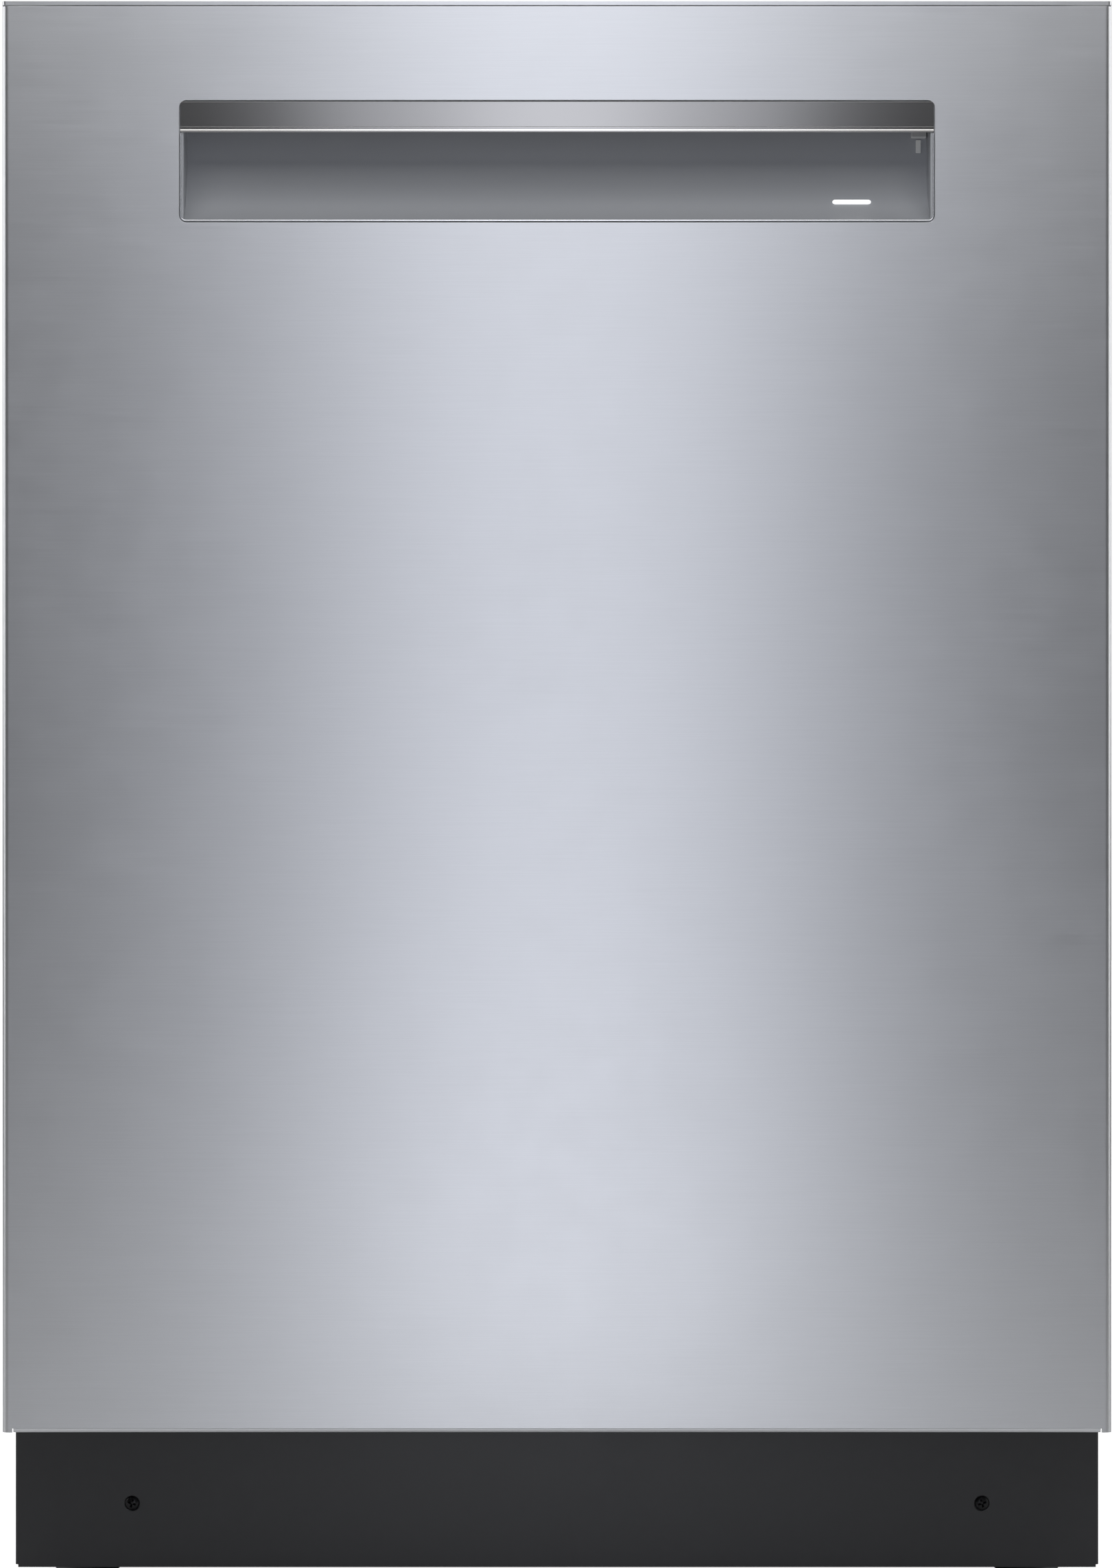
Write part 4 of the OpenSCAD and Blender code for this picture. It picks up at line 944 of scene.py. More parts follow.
wrap, wrapOut = wrapPath(tubSize, feltSize["gap"], feltSize["foot"])
blanket = [quiltedSheet(wrap, wrapOut, (0, 1, 0), feltSize["y"], feltSize["half"]),
           flatQuilt(feltSize["backX"], feltSize["backY"], feltSize["backZ"], feltSize["half"], 56, 60)]
makePiece("soundBlanket", blanket, finish["felt"], "cabinet", ["sound_blanket"], smooth=50)
makePiece("doorInsulation", [flatQuilt(woolSize["x"], woolSize["y"], woolSize["z"], woolSize["half"], 50, 50,
                                       woolSize["cell"])],
          finish["wool"], "door", ["door_insulation"], smooth=50)
print("tub done")

# inner side of the door
linerSize = {"x": 0.282, "z": (0.1231, 0.8572), "y": -0.2415, "rim": 20 * mm, "round": 8 * mm, "border": 30 * mm,
             "slope": 9 * mm, "recess": 4 * mm, "corner": 24 * mm, "sheet": 1.1 * mm,
             "hole": ((-0.091, 0.091), (0.434, 0.588)), "latch": ((-0.012, 0.012), (0.8175, 0.829))}


def linerLoop(l, inset, y):
    # the liner's outline drawn in by inset, with corners that tighten half as fast
    r = max(3 * mm, l["corner"] - inset * 0.5)
    return flatLoop(roundRect((-l["x"] + inset, l["x"] - inset), (l["z"][0] + inset, l["z"][1] - inset), r, 8), y)


def doorLiner(l):
    # pressed sheet: straight rim, quarter-circle shoulder, flat border, then an S-shaped step down to a recessed
    # field
    r, b = l["round"], l["border"]
    section = [(0.0, -l["rim"]), (0.0, -r)]
    section += [(r * (1 - math.cos(a)), -r * (1 - math.sin(a))) for a in np.linspace(0, math.pi / 2, 7)[1:]]
    section += [(b + l["slope"] * u, -l["recess"] * (1 - math.cos(math.pi * u)) / 2) for u in np.linspace(0, 1, 7)]
    front = [linerLoop(l, d, l["y"] + y) for d, y in section]
    s = l["sheet"]
    back = [linerLoop(l, d + (s if i < 8 else 0), l["y"] + y - (s if i > 1 else 0)) for i,
            (d, y) in enumerate(section)]
    back[0] = linerLoop(l, s, l["y"] - l["rim"])
    return loopSkin(front[::-1] + back)


liner = rawPiece("doorLiner", [doorLiner(linerSize)])
cut(liner, [block(linerSize["hole"][0], (-0.260, -0.236), linerSize["hole"][1]),
            block(linerSize["latch"][0], (-0.256, -0.236), linerSize["latch"][1])])
finishPiece(liner, finish["tub"], "door", ["inner_liner"], smooth=40, fix=False, even=True)


skirtSize = {"x": 0.095, "z": (0.430, 0.592), "corner": 8 * mm,
             "steps": ((9 * mm, -0.2457), (2.5 * mm, -0.2418), (-2 * mm, -0.2416), (-2 * mm, -0.2470),
                       (9 * mm, -0.2470))}


def dispenserSkirt(d):
    # a raised island round the dispenser: loops sloping from the recessed field up to the border's level, closed as
    # a ring
    loops = [flatLoop(roundRect((-d["x"] - grow, d["x"] + grow), (d["z"][0] - grow, d["z"][1] + grow),
                                d["corner"] + max(grow, 0), 6), y) for grow, y in d["steps"]]
    return np.concatenate(loops), [list(f) for f in quadGrid(len(loops), len(loops[0]), True, True)]


makePiece("dispenserSkirt", [dispenserSkirt(skirtSize)], finish["tub"], "door", (), smooth=30)

# wire racks
rackSize = {"y": (-0.2055, 0.2345), "wire": 1.75 * mm, "frame": 2.5 * mm, "bend": 11 * mm,
            "lower": {"x": 0.2452, "z": 0.1998, "h": 0.122}, "upper": {"x": 0.2412, "z": 0.482, "h": 0.112}}


def bentWires(s, r, nx, ny):
    # crosswise wires go down one side, across the floor and up the other; lengthwise ones run under them from front
    # to back
    x, z, top = s["x"], s["z"], s["z"] + s["h"]
    w, layer = r["wire"], 3.55 * mm
    y0, y1 = r["y"]
    parts = []
    for y in np.linspace(y0 + 24 * mm, y1 - 24 * mm, ny):
        path = filleted([(-x, y, top), (-x, y, z + layer), (x, y, z + layer), (x, y, top)], r["bend"])
        parts.append(tube(path, w, 6))
    for i in np.linspace(-x + 22 * mm, x - 22 * mm, nx):
        path = filleted([(i, y0, top), (i, y0, z), (i, y1, z), (i, y1, top)], r["bend"])
        parts.append(tube(path, w, 6))
    return parts


def frameLoops(s, r, heights):
    # closed frames that lie against the uprights, with round corners
    out = r["wire"] + r["frame"] + 0.05 * mm
    x, (y0, y1) = s["x"] + out, (r["y"][0] - out, r["y"][1] + out)
    parts = []
    for z in heights:
        path = filleted([(-x, y0, z), (x, y0, z), (x, y1, z), (-x, y1, z)], 16 * mm, closed=True, count=7)
        parts.append(tube(path, r["frame"], 8, closed=True))
    return parts


def tine(x, y, z0, z1, r):
    # upright with a rounded tip made by shrinking its last rings
    h = z1 - z0
    t = np.array([0, 0.5, 0.97, 0.99, 1.0])
    path = np.stack([np.full(5, x), np.full(5, y), z0 + h * t], -1)
    return tube(path, np.array([1, 1, 1, 0.75, 0.25]) * r, 8)


low, up = rackSize["lower"], rackSize["upper"]
lowerParts = bentWires(low, rackSize, 12, 11)
lowerParts += frameLoops(low, rackSize, (low["z"] + 0.42 * low["h"], low["z"] + low["h"] - 3 * mm))
lowerParts += [tine(x, 0.110, low["z"] + 2 * mm, low["z"] + 0.070, 1.5 * mm) for x in np.linspace(-0.200, -0.040,
                                                                                                  5)]
makePiece("lowerRackWires", lowerParts, finish["wire"], "lower_rack", ["lower_rack"], smooth=50)


def wheelBracket(x, y, z):
    # rounded plate clipped over two wires, with the wheel's stud and its head
    plate = roundRect((y - 12 * mm, y + 12 * mm), (z - 9 * mm, low["z"] + 20 * mm), 4 * mm, 5)
    parts = [prism(plate, x + 1.8 * mm, x + 10.5 * mm, 0)]
    parts.append(turnedSolid([(1e-5, x + 10 * mm), (4 * mm, x + 10 * mm), (4 * mm, x + 25.5 * mm),
                              (6.6 * mm, x + 25.5 * mm),
                              (7 * mm, x + 26.2 * mm), (6 * mm, x + 27.8 * mm), (1e-5, x + 28 * mm)], (0, y, z), 0,
                              24))
    return parts


wheelSize = {"z": 0.1881, "y": (-0.0945, 0.1895), "x": (0.2582, 0.2702), "r": 18 * mm}
brackets = []
for y in wheelSize["y"]:
    for part in wheelBracket(low["x"], y, wheelSize["z"]):
        brackets += [part, mirrored(part)]
makePiece("lowerRackBrackets", brackets, finish["rack"], "lower_rack", (), smooth=40,
          bevel=0.4 * mm)


def spokedWheel(w, y):
    # rim and hub are turned outlines with soft corners; six flat spokes join them
    x0, x1, r = w["x"][0], w["x"][1], w["r"]
    rim = [(r - 1 * mm, x0), (r, x0 + 1 * mm), (r, x1 - 1 * mm), (r - 1 * mm, x1), (r - 3 * mm, x1),
           (r - 4.4 * mm, x1 - 1.5 * mm),
           (r - 4.4 * mm, x0 + 1.5 * mm), (r - 3 * mm, x0)]
    hub = [(4.1 * mm, x0), (7 * mm, x0), (7.6 * mm, x0 + 1 * mm), (7.6 * mm, x1 - 1 * mm), (7 * mm, x1),
           (4.1 * mm, x1)]
    parts = [turned(rim, (0, y, w["z"]), 0, 40), turned(hub, (0, y, w["z"]), 0, 28)]
    for a in np.linspace(0, 2 * math.pi, 7)[:-1]:
        u, v = np.array([math.cos(a), math.sin(a)]), np.array([-math.sin(a), math.cos(a)])
        c = np.array([y, w["z"]])
        quad = [c + u * 7 * mm - v * 1.3 * mm, c + u * (r - 4 * mm) - v * 1 * mm, c + u * (r - 4 * mm) + v * 1 * mm,
                c + u * 7 * mm + v * 1.3 * mm]
        parts.append(prism(quad, x0 + 3 * mm, x1 - 3 * mm, 0))
    return parts


for name, node, y in (("wheelsFront", "wheels_front", wheelSize["y"][0]),
                      ("wheelsRear", "wheels_rear", wheelSize["y"][1])):
    right = spokedWheel(wheelSize, y)
    makePiece(name, right + [mirrored(p) for p in right], finish["rack"], node, [node], smooth=40)

tineSize = {"y": -0.020, "z": 0.20745, "x": (-0.212, 0.100), "top": 0.0637, "r": 1.5 * mm}
foldParts = [tube([(tineSize["x"][0], tineSize["y"], tineSize["z"]),
                   (tineSize["x"][1], tineSize["y"], tineSize["z"])], 1.75 * mm, 8)]
foldParts += [tine(x, tineSize["y"], tineSize["z"], tineSize["z"] + tineSize["top"],
                   tineSize["r"]) for x in np.linspace(-0.200, 0.088, 13)]
makePiece("foldingTines", foldParts, finish["wire"], "folding_tines", ["folding_tines"], smooth=50)

upperParts = bentWires(up, rackSize, 12, 11)
upperParts += frameLoops(up, rackSize, (up["z"] + 0.42 * up["h"], up["z"] + up["h"] - 3 * mm))
upperParts += [tine(x, 0.060, up["z"] + 3 * mm, up["z"] + 0.058, 1.5 * mm) for x in np.linspace(-0.180, 0.180, 13)]
makePiece("upperRackWires", upperParts, finish["wire"], "upper_rack", ["upper_rack"], smooth=50)


def rackFeed():
    # water pipe under the upper rack: straight run, then a bend down into the arm's hub, which is turned
    z = up["z"] - 10.95 * mm
    pipe = tube(filleted([(0, 0.2315, z), (0, 0.020, z), (0, 0.020, up["z"] - 24 * mm)], 10 * mm, count=7),
                6.8 * mm, 20)
    hub = turnedSolid([(1e-5, up["z"] - 48 * mm), (7.4 * mm, up["z"] - 48 * mm), (7.9 * mm, up["z"] - 47 * mm),
                       (7.9 * mm, up["z"] - 32 * mm),
                       (12 * mm, up["z"] - 31 * mm), (12 * mm, up["z"] - 28 * mm), (8 * mm, up["z"] - 26 * mm),
                       (7.2 * mm, up["z"] - 20 * mm),
                       (1e-5, up["z"] - 20 * mm)], (0, 0.020, 0), 2, 28)
    return [pipe, hub]


makePiece("upperRackFeed", rackFeed(), finish["grey"], "upper_rack", (), smooth=45)

shelfSize = {"x": -0.2342, "y": (-0.1755, 0.1745), "z": 0.544, "w": 0.095}


def cupShelf(s):
    # a pivot rod, a rounded frame round the free side, and slats between them
    x0, x1, (y0, y1), z = s["x"], s["x"] + s["w"], s["y"], s["z"]
    parts = [tube([(x0, y0, z), (x0, y1, z)], 2.2 * mm, 10)]
    parts.append(tube(filleted([(x0, y0 + 4 * mm, z), (x1, y0 + 4 * mm, z), (x1, y1 - 4 * mm, z),
                                (x0, y1 - 4 * mm, z)], 16 * mm, count=7), 1.7 * mm, 8))
    for y in np.linspace(y0 + 22 * mm, y1 - 22 * mm, 12):
        parts.append(tube([(x0, y, z), (x1, y, z)], 1.4 * mm, 6))
    return parts


makePiece("cupShelf", cupShelf(shelfSize), finish["rack"], "cup_shelf", ["cup_shelf"], smooth=50)

third = {"box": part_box("third_rack"), "wire": 1.75 * mm, "frame": 2.5 * mm}


def trayWires(t):
    # shallow tray: bent wires both ways, a top frame, and a plastic runner on each side
    (_, ly, lz), (hx, hy, hz) = t["box"]
    x, z, top = 0.2582, lz + t["wire"], hz - t["frame"]
    y0, y1 = ly + 1.8 * mm, hy - 1.8 * mm
    parts = []
    for y in np.linspace(y0 + 18 * mm, y1 - 18 * mm, 10):
        parts.append(tube(filleted([(-x, y, top), (-x, y, z + 3.5 * mm), (x, y, z + 3.5 * mm), (x, y, top)],
                                   9 * mm), t["wire"], 6))
    for i in np.linspace(-x + 16 * mm, x - 16 * mm, 17):
        parts.append(tube(filleted([(i, y0, top - 2 * mm), (i, y0, z), (i, y1, z), (i, y1, top - 2 * mm)], 9 * mm),
                          t["wire"], 6))
    fx = min(x, hx - 8 * mm)
    path = filleted([(-fx, y0, top), (fx, y0, top), (fx, y1, top), (-fx, y1, top)], 12 * mm, closed=True, count=7)
    parts.append(tube(path, t["frame"], 8, closed=True))
    return parts


makePiece("thirdRackWires", trayWires(third), finish["wire"], "third_rack", ["third_rack"],
          smooth=50)
runner = prism(roundRect((third["box"][0][1] + 2 * mm, third["box"][1][1] - 2 * mm), (0.7242, 0.7378), 4 * mm, 5),
               0.2598, 0.2742, 0)
makePiece("thirdRackRunners", [runner, mirrored(runner)], finish["rack"], "third_rack", (),
          smooth=40, bevel=0.4 * mm)

basketSize = {"x": (0.153, 0.231), "y": (-0.1775, 0.1825), "z": (0.2056, 0.3175), "wall": 1.6 * mm,
              "pitch": 9.5 * mm, "slat": 2.6 * mm}


def basketWalls(b):
    # every wall is upright slats between three bands; the floor is slats too
    (x0, x1), (y0, y1), (z0, z1), t = b["x"], b["y"], b["z"], b["wall"]
    parts = []
    bands = ((z0, z0 + 7 * mm), (z0 + 52 * mm, z0 + 57 * mm), (z1 - 8 * mm, z1))
    count = int((y1 - y0) / b["pitch"])
    for x in ((x0, x0 + t), (x1 - t, x1)):
        parts += [block(x, (y0, y1), z) for z in bands]
        parts += [block((x[0] + 0.2 * mm, x[1] - 0.2 * mm), (y - b["slat"] / 2, y + b["slat"] / 2),
                        (z0 + 3 * mm, z1 - 3 * mm))
                  for y in np.linspace(y0 + 6 * mm, y1 - 6 * mm, count)]
    for j in range(5):
        y = y0 + j * (y1 - y0 - t) / 4
        parts += [block((x0 + 0.5 * mm, x1 - 0.5 * mm), (y, y + t), z) for z in bands]
        parts += [block((x - b["slat"] / 2, x + b["slat"] / 2), (y + 0.2 * mm, y + t - 0.2 * mm),
                        (z0 + 3 * mm, z1 - 3 * mm))
                  for x in np.linspace(x0 + 7 * mm, x1 - 7 * mm, 7)]
    parts += [block((x - 2.4 * mm, x + 2.4 * mm), (y0 + 0.5 * mm, y1 - 0.5 * mm),
                    (z0 + 0.1 * mm, z0 + 1.6 * mm)) for x in np.linspace(x0 + 6 * mm, x1 - 6 * mm, 8)]
    parts += [block((x0 + 0.5 * mm, x1 - 0.5 * mm), (y - 2 * mm, y + 2 * mm),
                    (z0 + 0.1 * mm, z0 + 1.5 * mm)) for y in np.linspace(y0 + 8 * mm, y1 - 8 * mm, 18)]
    return parts


def basketHandle(b):
    # an arched grip over two posts, carried on a wire's path with a thicker middle
    x = (b["x"][0] + b["x"][1]) / 2
    z = b["z"][1]
    path = filleted([(x, -0.0775, z - 8 * mm), (x, -0.0775, z + 29 * mm), (x, 0.0825, z + 29 * mm),
                     (x, 0.0825, z - 8 * mm)], 18 * mm, count=9)
    u = np.linspace(-1, 1, len(path))
    return tube(path, (3.0 + 1.2 * np.clip(1 - (u / 0.6) ** 2, 0, 1)) * mm, 12)


makePiece("cutleryBasket", basketWalls(basketSize) + [basketHandle(basketSize)], finish["rack"], "cutlery_basket",
          ["cutlery_basket"],
          smooth=40)
print("racks done")

armSize = {"lower": {"half": 0.2235, "z": 0.174, "w": 46 * mm, "t": 12 * mm, "hub": 28 * mm},
           "middle": {"half": 0.1995, "z": 0.438, "w": 46 * mm, "t": 12 * mm, "hub": 28 * mm}}


def sprayArm(a, y=0.020):
    # a loft along X: its half width swells to a round hub, narrows, then ends in a half circle; sections are
    # flattened superellipses
    s = np.concatenate([np.linspace(-1, -0.9, 9), np.linspace(-0.88, 0.88, 45), np.linspace(0.9, 1, 9)])
    x = s * a["half"]
    tip = a["w"] / 2
    end = np.sqrt(np.clip(1 - np.clip((np.abs(x) - (a["half"] - tip)) / tip, 0, 1) ** 2, 0.0004, 1))
    waist = 0.80 + 0.20 * np.abs(s) ** 1.5
    hub = np.sqrt(np.clip(a["hub"] ** 2 - x ** 2, 0, None))
    w = np.maximum(tip * waist * end, hub)
    t = np.linspace(0, 2 * np.pi, 28, endpoint=False)
    c, n = np.cos(t), np.sin(t)
    px = np.sign(c) * np.abs(c) ** 0.55
    pz = np.sign(n) * np.abs(n) ** 0.7
    thick = a["t"] / 2 * (0.72 + 0.28 * np.exp(-(x / 0.05) ** 2)) * (0.35 + 0.65 * np.sqrt(end))
    loops = [np.stack([np.full(28, x[i]), y + w[i] * px,
                       a["z"] + a["t"] / 2 + thick[i] * pz - a["t"] * 0.08 * (1 - np.exp(-(x[i] / 0.05) ** 2))], -1)
             for i in range(len(x))]
    return loopSkin(loops)


def nozzles(a, y=0.020):
    # oval rims standing up from the arm, alternately to one side and the other, each with a sunk middle
    parts = []
    places = np.linspace(0.045, a["half"] - 20 * mm, 5)
    for k, d in enumerate(np.concatenate([places, -places])):
        off = (9 if k % 2 else -9) * mm * (1 if d > 0 else -1)
        top = a["z"] + a["t"] / 2 + a["t"] * 0.28
        parts.append(turned([(1.4 * mm, top - 2 * mm), (3.6 * mm, top - 2 * mm), (3.2 * mm, top + 0.9 * mm),
                             (2.4 * mm, top + 1.1 * mm), (1.5 * mm, top + 0.4 * mm)],
                            (d, y + off, 0), 2, 16))
    return parts


for name, node, a in (("lowerArm", "lower_arm", armSize["lower"]), ("middleArm", "middle_arm", armSize["middle"])):
    makePiece(name, [sprayArm(a)] + nozzles(a), finish["grey"], node, [node], smooth=40)


def ribbedTube(path, r, depth=0.9 * mm, pitch=5 * mm, step=1.25 * mm, sides=14):
    # corrugated hose: the radius rises and falls along the path's length
    path = np.asarray(path, float)
    d = np.concatenate([[0], np.cumsum(np.linalg.norm(np.diff(path, axis=0), axis=1))])
    s = np.arange(0, d[-1], step)
    fine = np.stack([np.interp(s, d, path[:, i]) for i in range(3)], -1)
    return tube(fine, r - depth / 2 + depth / 2 * np.cos(2 * np.pi * s / pitch), sides)


drainHose = [(-0.160, -0.037, 0.066), (-0.160, 0.2755, 0.066)]
feedHose = filleted([(0.099, 0.066, 0.092), (0.099, 0.2585, 0.092), (0.0, 0.2585, 0.092), (0.0, 0.2585, 0.1515)],
                    30 * mm, count=14)
makePiece("innerHoses", [ribbedTube(drainHose, 8.9 * mm), ribbedTube(feedHose, 8.9 * mm)], finish["hose"],
          "cabinet", ["internal_hoses"],
          smooth=60)


def pumpBody(x0, length, volute, motor, centre, ways):
    # turned along X: a rounded volute, a neck, then a motor with cooling ribs and a domed end
    p = [(1e-5, 0), (volute - 3 * mm, 0), (volute, 3 * mm), (volute, length * 0.19),
         (volute - 3 * mm, length * 0.22), (motor - 2 * mm, length * 0.235)]
    ribs = np.arange(length * 0.27, length * 0.92, 5 * mm)
    for q in ribs:
        p += [(motor - 2 * mm, q), (motor, q + 1 * mm), (motor, q + 2.4 * mm), (motor - 2 * mm, q + 3.4 * mm)]
    p += [(motor - 2 * mm, length * 0.94), (motor - 8 * mm, length * 0.985), (1e-5, length)]
    p = np.array(p)
    p[:, 1] = x0 + ways * p[:, 1]
    return turnedSolid(p, (0, centre[0], centre[1]), 0, 40)


pump = [pumpBody(0.08605, 0.118, 46 * mm, 38 * mm, (0.020, 0.092), 1),
        block((0.126, 0.170), (0.056, 0.082), (0.070, 0.114))]
makePiece("circulationPump", pump, finish["dark"], "cabinet", ["circulation_pump"], smooth=35)
makePiece("drainPump", [pumpBody(-0.08605, 0.084, 30 * mm, 22 * mm, (-0.060, 0.080), -1)], finish["dark"],
          "cabinet", ["drain_pump"], smooth=35)

coilSize = {"x": 0.284, "y": -0.2115, "z": (0.032, 0.084), "r": 5.0 * mm, "wire": 1.0 * mm, "turns": 15}


def doorCoil(c, side):
    # helix with its ends drawn to the axis, where they run out straight as hooks
    n = c["turns"] * 16
    t = np.linspace(0, 1, n)
    a = 2 * np.pi * c["turns"] * t
    r = c["r"] * np.minimum(1, np.minimum(t, 1 - t) * c["turns"] * 1.3)
    z = c["z"][0] + 4 * mm + (c["z"][1] - c["z"][0] - 8 * mm) * t
    helix = np.stack([side * c["x"] + r * np.cos(a), c["y"] + r * np.sin(a), z], -1)
    ends = [np.array([[side * c["x"], c["y"], c["z"][0] - 8 * mm]]),
            np.array([[side * c["x"], c["y"], c["z"][1] + 2 * mm]])]
    return tube(np.concatenate([ends[0], helix, ends[1]]), c["wire"], 6)


coil = makePiece("doorSprings", [doorCoil(coilSize, s) for s in (-1, 1)], finish["spring"], None, ["door_springs"],
                 smooth=60)

footSize = {"pad": 18 * mm, "nut": 9 * mm, "screw": 5 * mm, "x": 0.262, "y": (-0.176, 0.2715), "top": 0.060}


def levellingFoot(f, x, y):
    # pad and thread are turned, the thread as a zigzag of even pitch; the nut is a six-sided prism
    pad = turnedSolid([(1e-5, 0), (f["pad"] - 1.5 * mm, 0), (f["pad"], 1.2 * mm), (f["pad"] - 0.6 * mm, 3.6 * mm),
                       (f["pad"] - 5 * mm, 5 * mm), (1e-5, 5.2 * mm)], (x, y, 0), 2, 36)
    z = np.arange(13 * mm, f["top"] - 2 * mm, 0.875 * mm)
    r = np.where(np.arange(len(z)) % 2 == 0, f["screw"], f["screw"] - 0.7 * mm)
    rod = turnedSolid(np.concatenate([[(1e-5, 12.5 * mm)], np.stack([r, z], -1), [(1e-5, f["top"])]]), (x, y, 0), 2,
                      18)
    a = np.radians(np.arange(0, 360, 60) + 15)
    nut = prism(np.stack([x + f["nut"] * np.cos(a), y + f["nut"] * np.sin(a)], -1), 5 * mm, 13 * mm, 2)
    return [pad, rod, nut]


for name, node, places in (("footFrontLeft", "foot_front_left", [(-1, 0)]),
                           ("footFrontRight", "foot_front_right", [(1, 0)]),
                           ("feetRear", "feet_rear", [(-1, 1), (1, 1)])):
    parts = [p for s, j in places for p in levellingFoot(footSize, s * footSize["x"], footSize["y"][j])]
    makePiece(name, parts, finish["dark"], node, [node], smooth=35)


def inletValve():
    # moulded block, a threaded spout turned along Y, and the solenoid's ribbed winding above
    x, z = -0.206, 0.060
    y = np.arange(0.2795, 0.3000, 1.0 * mm)
    r = np.where(np.arange(len(y)) % 2 == 0, 12.4 * mm, 13.2 * mm)
    spout = turned(np.concatenate([np.stack([r, y], -1),
                                   [(12.2 * mm, 0.3005), (8 * mm, 0.3005), (8 * mm, 0.290), (2 * mm, 0.289),
                                    (2 * mm, 0.2795)]]), (x, 0, z), 1, 32)
    body = prism(roundRect((x - 19 * mm, x + 19 * mm), (0.2395, 0.2795), 4 * mm, 5), 0.0226, 0.084, 2)
    q = np.arange(0.086, 0.116, 2 * mm)
    w = np.where(np.arange(len(q)) % 2 == 0, 13 * mm, 12.2 * mm)
    winding = turnedSolid(np.concatenate([[(1e-5, 0.0838)], np.stack([w, q], -1),
                                          [(11 * mm, 0.118), (1e-5, 0.118)]]), (x, 0.2595, 0), 2, 28)
    return [spout, body, winding]


makePiece("inletValve", inletValve(), finish["white"], "cabinet", ["inlet_valve"], smooth=35,
          bevel=0)

ribs = [block((0.2896, 0.2925), (y - 1.2 * mm, y + 1.2 * mm), (0.026, 0.146)) for y in np.linspace(-0.135, 0.285,
                                                                                                   13)]
makePiece("baseRibs", ribs + [mirrored(r) for r in ribs], finish["base"], "cabinet", (), smooth=35,
          bevel=0.3 * mm)

roundedNodes = {
    "control_fascia": ("fascia", "panel", "steel_panel", 0.25),
    "display_window": ("displayWindow", "smoked", "smoked_window", 0.15),
    "power_button": ("powerButton", "dark", "dark_plastic", 0.5),
    "cycle_button": ("cycleButton", "dark", "dark_plastic", 0.5),
    "option_button": ("optionButton", "dark", "dark_plastic", 0.5),
    "start_button": ("startButton", "dark", "dark_plastic", 0.5),
    "dispenser_body": ("dispenserBody", "grey", "grey_plastic", 0.7),
    "dispenser_lid": ("dispenserLid", "pale", "grey_plastic", 0.6),
    "rinse_aid_cap": ("rinseAidCap", "blue", "cap_plastic", 0.5),
    "latch_body": ("latchBody", "dark", "dark_plastic", 0.5),
    "latch_hook": ("latchHook", "spring", "spring_steel", 0.25),
    "door_strike": ("doorStrike", "zinc", "galvanised_steel", 0.3),
    "filter_plate": ("filterPlate", "tub", "tub_steel", 0.3),
    "filter_cup": ("filterCup", "grey", "grey_plastic", 0.5),
    "lower_arm_hub": ("lowerArmHub", "dark", "dark_plastic", 0.8),
    "feed_tube": ("feedTube", "dark", "dark_plastic", 0.6),
    "float_cap": ("floatCap", "white", "white_plastic", 1.2), "base_pan": ("basePan", "base", "base_plastic", 0.5),
    "sump": ("sump", "dark", "dark_plastic", 1.0), "junction_box": ("junctionBox", "zinc", "galvanised_steel", 0.5),
    "drain_spigot": ("drainSpigot", "dark", "dark_plastic", 0.6),
    "slide_rails": ("slideRails", "zinc", "galvanised_steel", 0.8),
    "slide_middles": ("slideMiddles", "zinc", "galvanised_steel", 0.8),
    "slide_inners": ("slideInners", "zinc", "galvanised_steel", 0.6),
    "hinge_brackets": ("hingeBrackets", "zinc", "galvanised_steel", 0.3),
    "hinge_arms": ("hingeArms", "zinc", "galvanised_steel", 0.4),
    "top_brackets": ("topBrackets", "zinc", "galvanised_steel", 0.2),
    "spring_rods": ("springRods", "zinc", "galvanised_steel", 0.3),
    "control_board": ("controlBoard", "board", "circuit_board", 0.2), }
for node, (name, key, slot, bevel) in roundedNodes.items():
    softened(node, name, finish[key], bevel)
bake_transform(coil)
print("mechanism done")


leftOver = {"kick_screws": "screw"}
for name, key in leftOver.items():
    nodes[name].data.materials.clear()
    nodes[name].data.materials.append(finish[key])
plain = [n for n in nodes if not nodes[n].hide_render]
print("nodes still shown as packed:", plain)


studio = {"floor": 24.0, "sky": 0.03, "stripZ": 0.46, "stripGap": 0.9, "tall": 3.2,
          "stripColour": (0.855, 0.88, 0.965), "strips": ((0.12, 2.3), (0.34, 3.3)), "low": 0.05, "high": 17.0,
          "sides": 4.0}


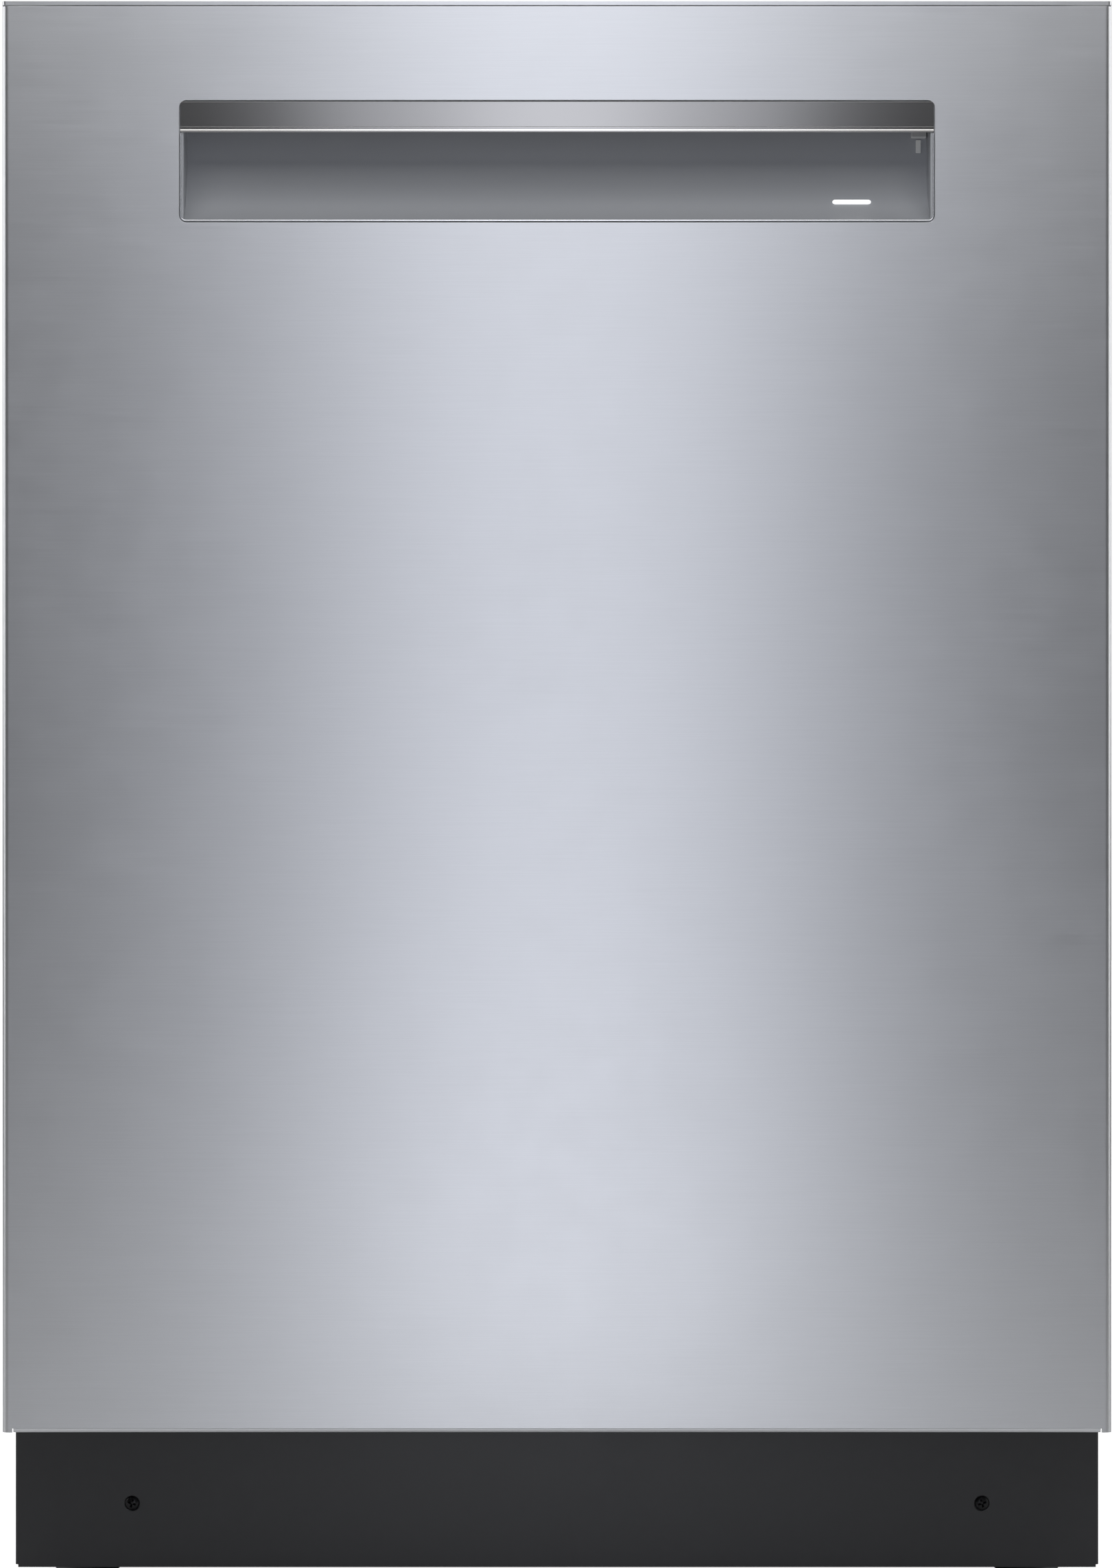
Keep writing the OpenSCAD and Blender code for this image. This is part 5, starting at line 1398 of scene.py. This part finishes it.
def makeFloor(s):
    # one square sheet just under the feet
    h = s["floor"] / 2
    data = bpy.data.meshes.new("floor")
    data.from_pydata([(-h, -h, -0.0005), (h, -h, -0.0005), (h, h, -0.0005), (-h, h, -0.0005)], [], [(0, 1, 2, 3)])
    floor = linked("floor", data)
    f = Finish("paleFloor", (0.80, 0.80, 0.80), 0.0, 0.6)
    cloud = noiseNode(f.tree, f.place, 3.0, 4.0)
    f.blendColour(cloud, (0.79, 0.79, 0.79), (0.81, 0.81, 0.81))
    f.range(cloud, 0.55, 0.65)
    f.shader.inputs["Emission Color"].default_value = (1, 1, 1, 1)
    path = f.tree.nodes.new("ShaderNodeLightPath")
    # glow to the eye grows from the middle out, so that the floor ends in the same white as the air
    far = f.tree.nodes.new("ShaderNodeVectorMath")
    far.operation = "LENGTH"
    f.tree.links.new(f.place, far.inputs[0])
    grow = f.tree.nodes.new("ShaderNodeMapRange")
    f.tree.links.new(far.outputs["Value"], grow.inputs["Value"])
    for socket, value in (("From Min", 0.9), ("From Max", 3.2), ("To Min", 0.8), ("To Max", 1.1)):
        grow.inputs[socket].default_value = value
    f.tree.links.new(mathNode(f.tree, "MULTIPLY", path.outputs["Is Camera Ray"], grow.outputs["Result"]),
                     f.shader.inputs["Emission Strength"])
    data.materials.append(f.material)


def makeWorld(s):
    world = bpy.data.worlds.new("studioAir")
    bpy.context.scene.world = world
    world.use_nodes = True
    tree = world.node_tree
    tree.nodes.clear()
    out = tree.nodes.new("ShaderNodeOutputWorld")
    sky, seen = tree.nodes.new("ShaderNodeBackground"), tree.nodes.new("ShaderNodeBackground")
    sky.inputs["Color"].default_value = (s["sky"], s["sky"], s["sky"] * 1.03, 1)
    seen.inputs["Color"].default_value = (1, 1, 1, 1)
    mix, path = tree.nodes.new("ShaderNodeMixShader"), tree.nodes.new("ShaderNodeLightPath")
    tree.links.new(path.outputs["Is Camera Ray"], mix.inputs["Fac"])
    tree.links.new(sky.outputs[0], mix.inputs[1])
    tree.links.new(seen.outputs[0], mix.inputs[2])
    tree.links.new(mix.outputs[0], out.inputs["Surface"])


def areaLight(name, at, aim, size, power, colour=(1, 1, 1)):
    data = bpy.data.lights.new(name, "AREA")
    data.shape, data.size, data.size_y = "RECTANGLE", size[0], size[1]
    data.energy, data.color = power, colour
    lamp = bpy.data.objects.new(name, data)
    lamp.location = at
    ahead = np.array(aim, float) - np.array(at, float)
    lamp.rotation_euler = mathutils.Vector(ahead).to_track_quat("-Z", "Y").to_euler()
    lamp.visible_camera = False
    bpy.context.collection.objects.link(lamp)
    return lamp


makeFloor(studio)
makeWorld(studio)
for wide, power in studio["strips"]:
    areaLight("frontStrip", (0, faceY - studio["stripGap"], studio["stripZ"]), (0, faceY, studio["stripZ"]),
              (wide, studio["tall"]),
              power, studio["stripColour"])
areaLight("lowFill", (0, faceY - studio["stripGap"], 0.09), (0, faceY, 0.09), (0.34, 0.17), studio["low"],
          studio["stripColour"])
areaLight("highSoft", (0, faceY - 1.15, 1.85), (0, faceY, 0.76), (2.2, 1.2), studio["high"])
for s in (-1, 1):
    areaLight("sideSoft", (s * 1.6, faceY - 0.2, 0.9), (0, 0, 0.43), (0.5, 1.6), studio["sides"])
    areaLight("flankSoft", (s * 2.4, 0.8, 1.3), (0, 0.1, 0.4), (1.6, 1.8), 15.0)
areaLight("rearSoft", (0, 2.6, 1.5), (0, 0.3, 0.4), (2.2, 1.6), 28.0)
areaLight("roofSoft", (0, 0.6, 2.6), (0, 0.2, 0.5), (1.8, 1.4), 10.0)
print("lights done")
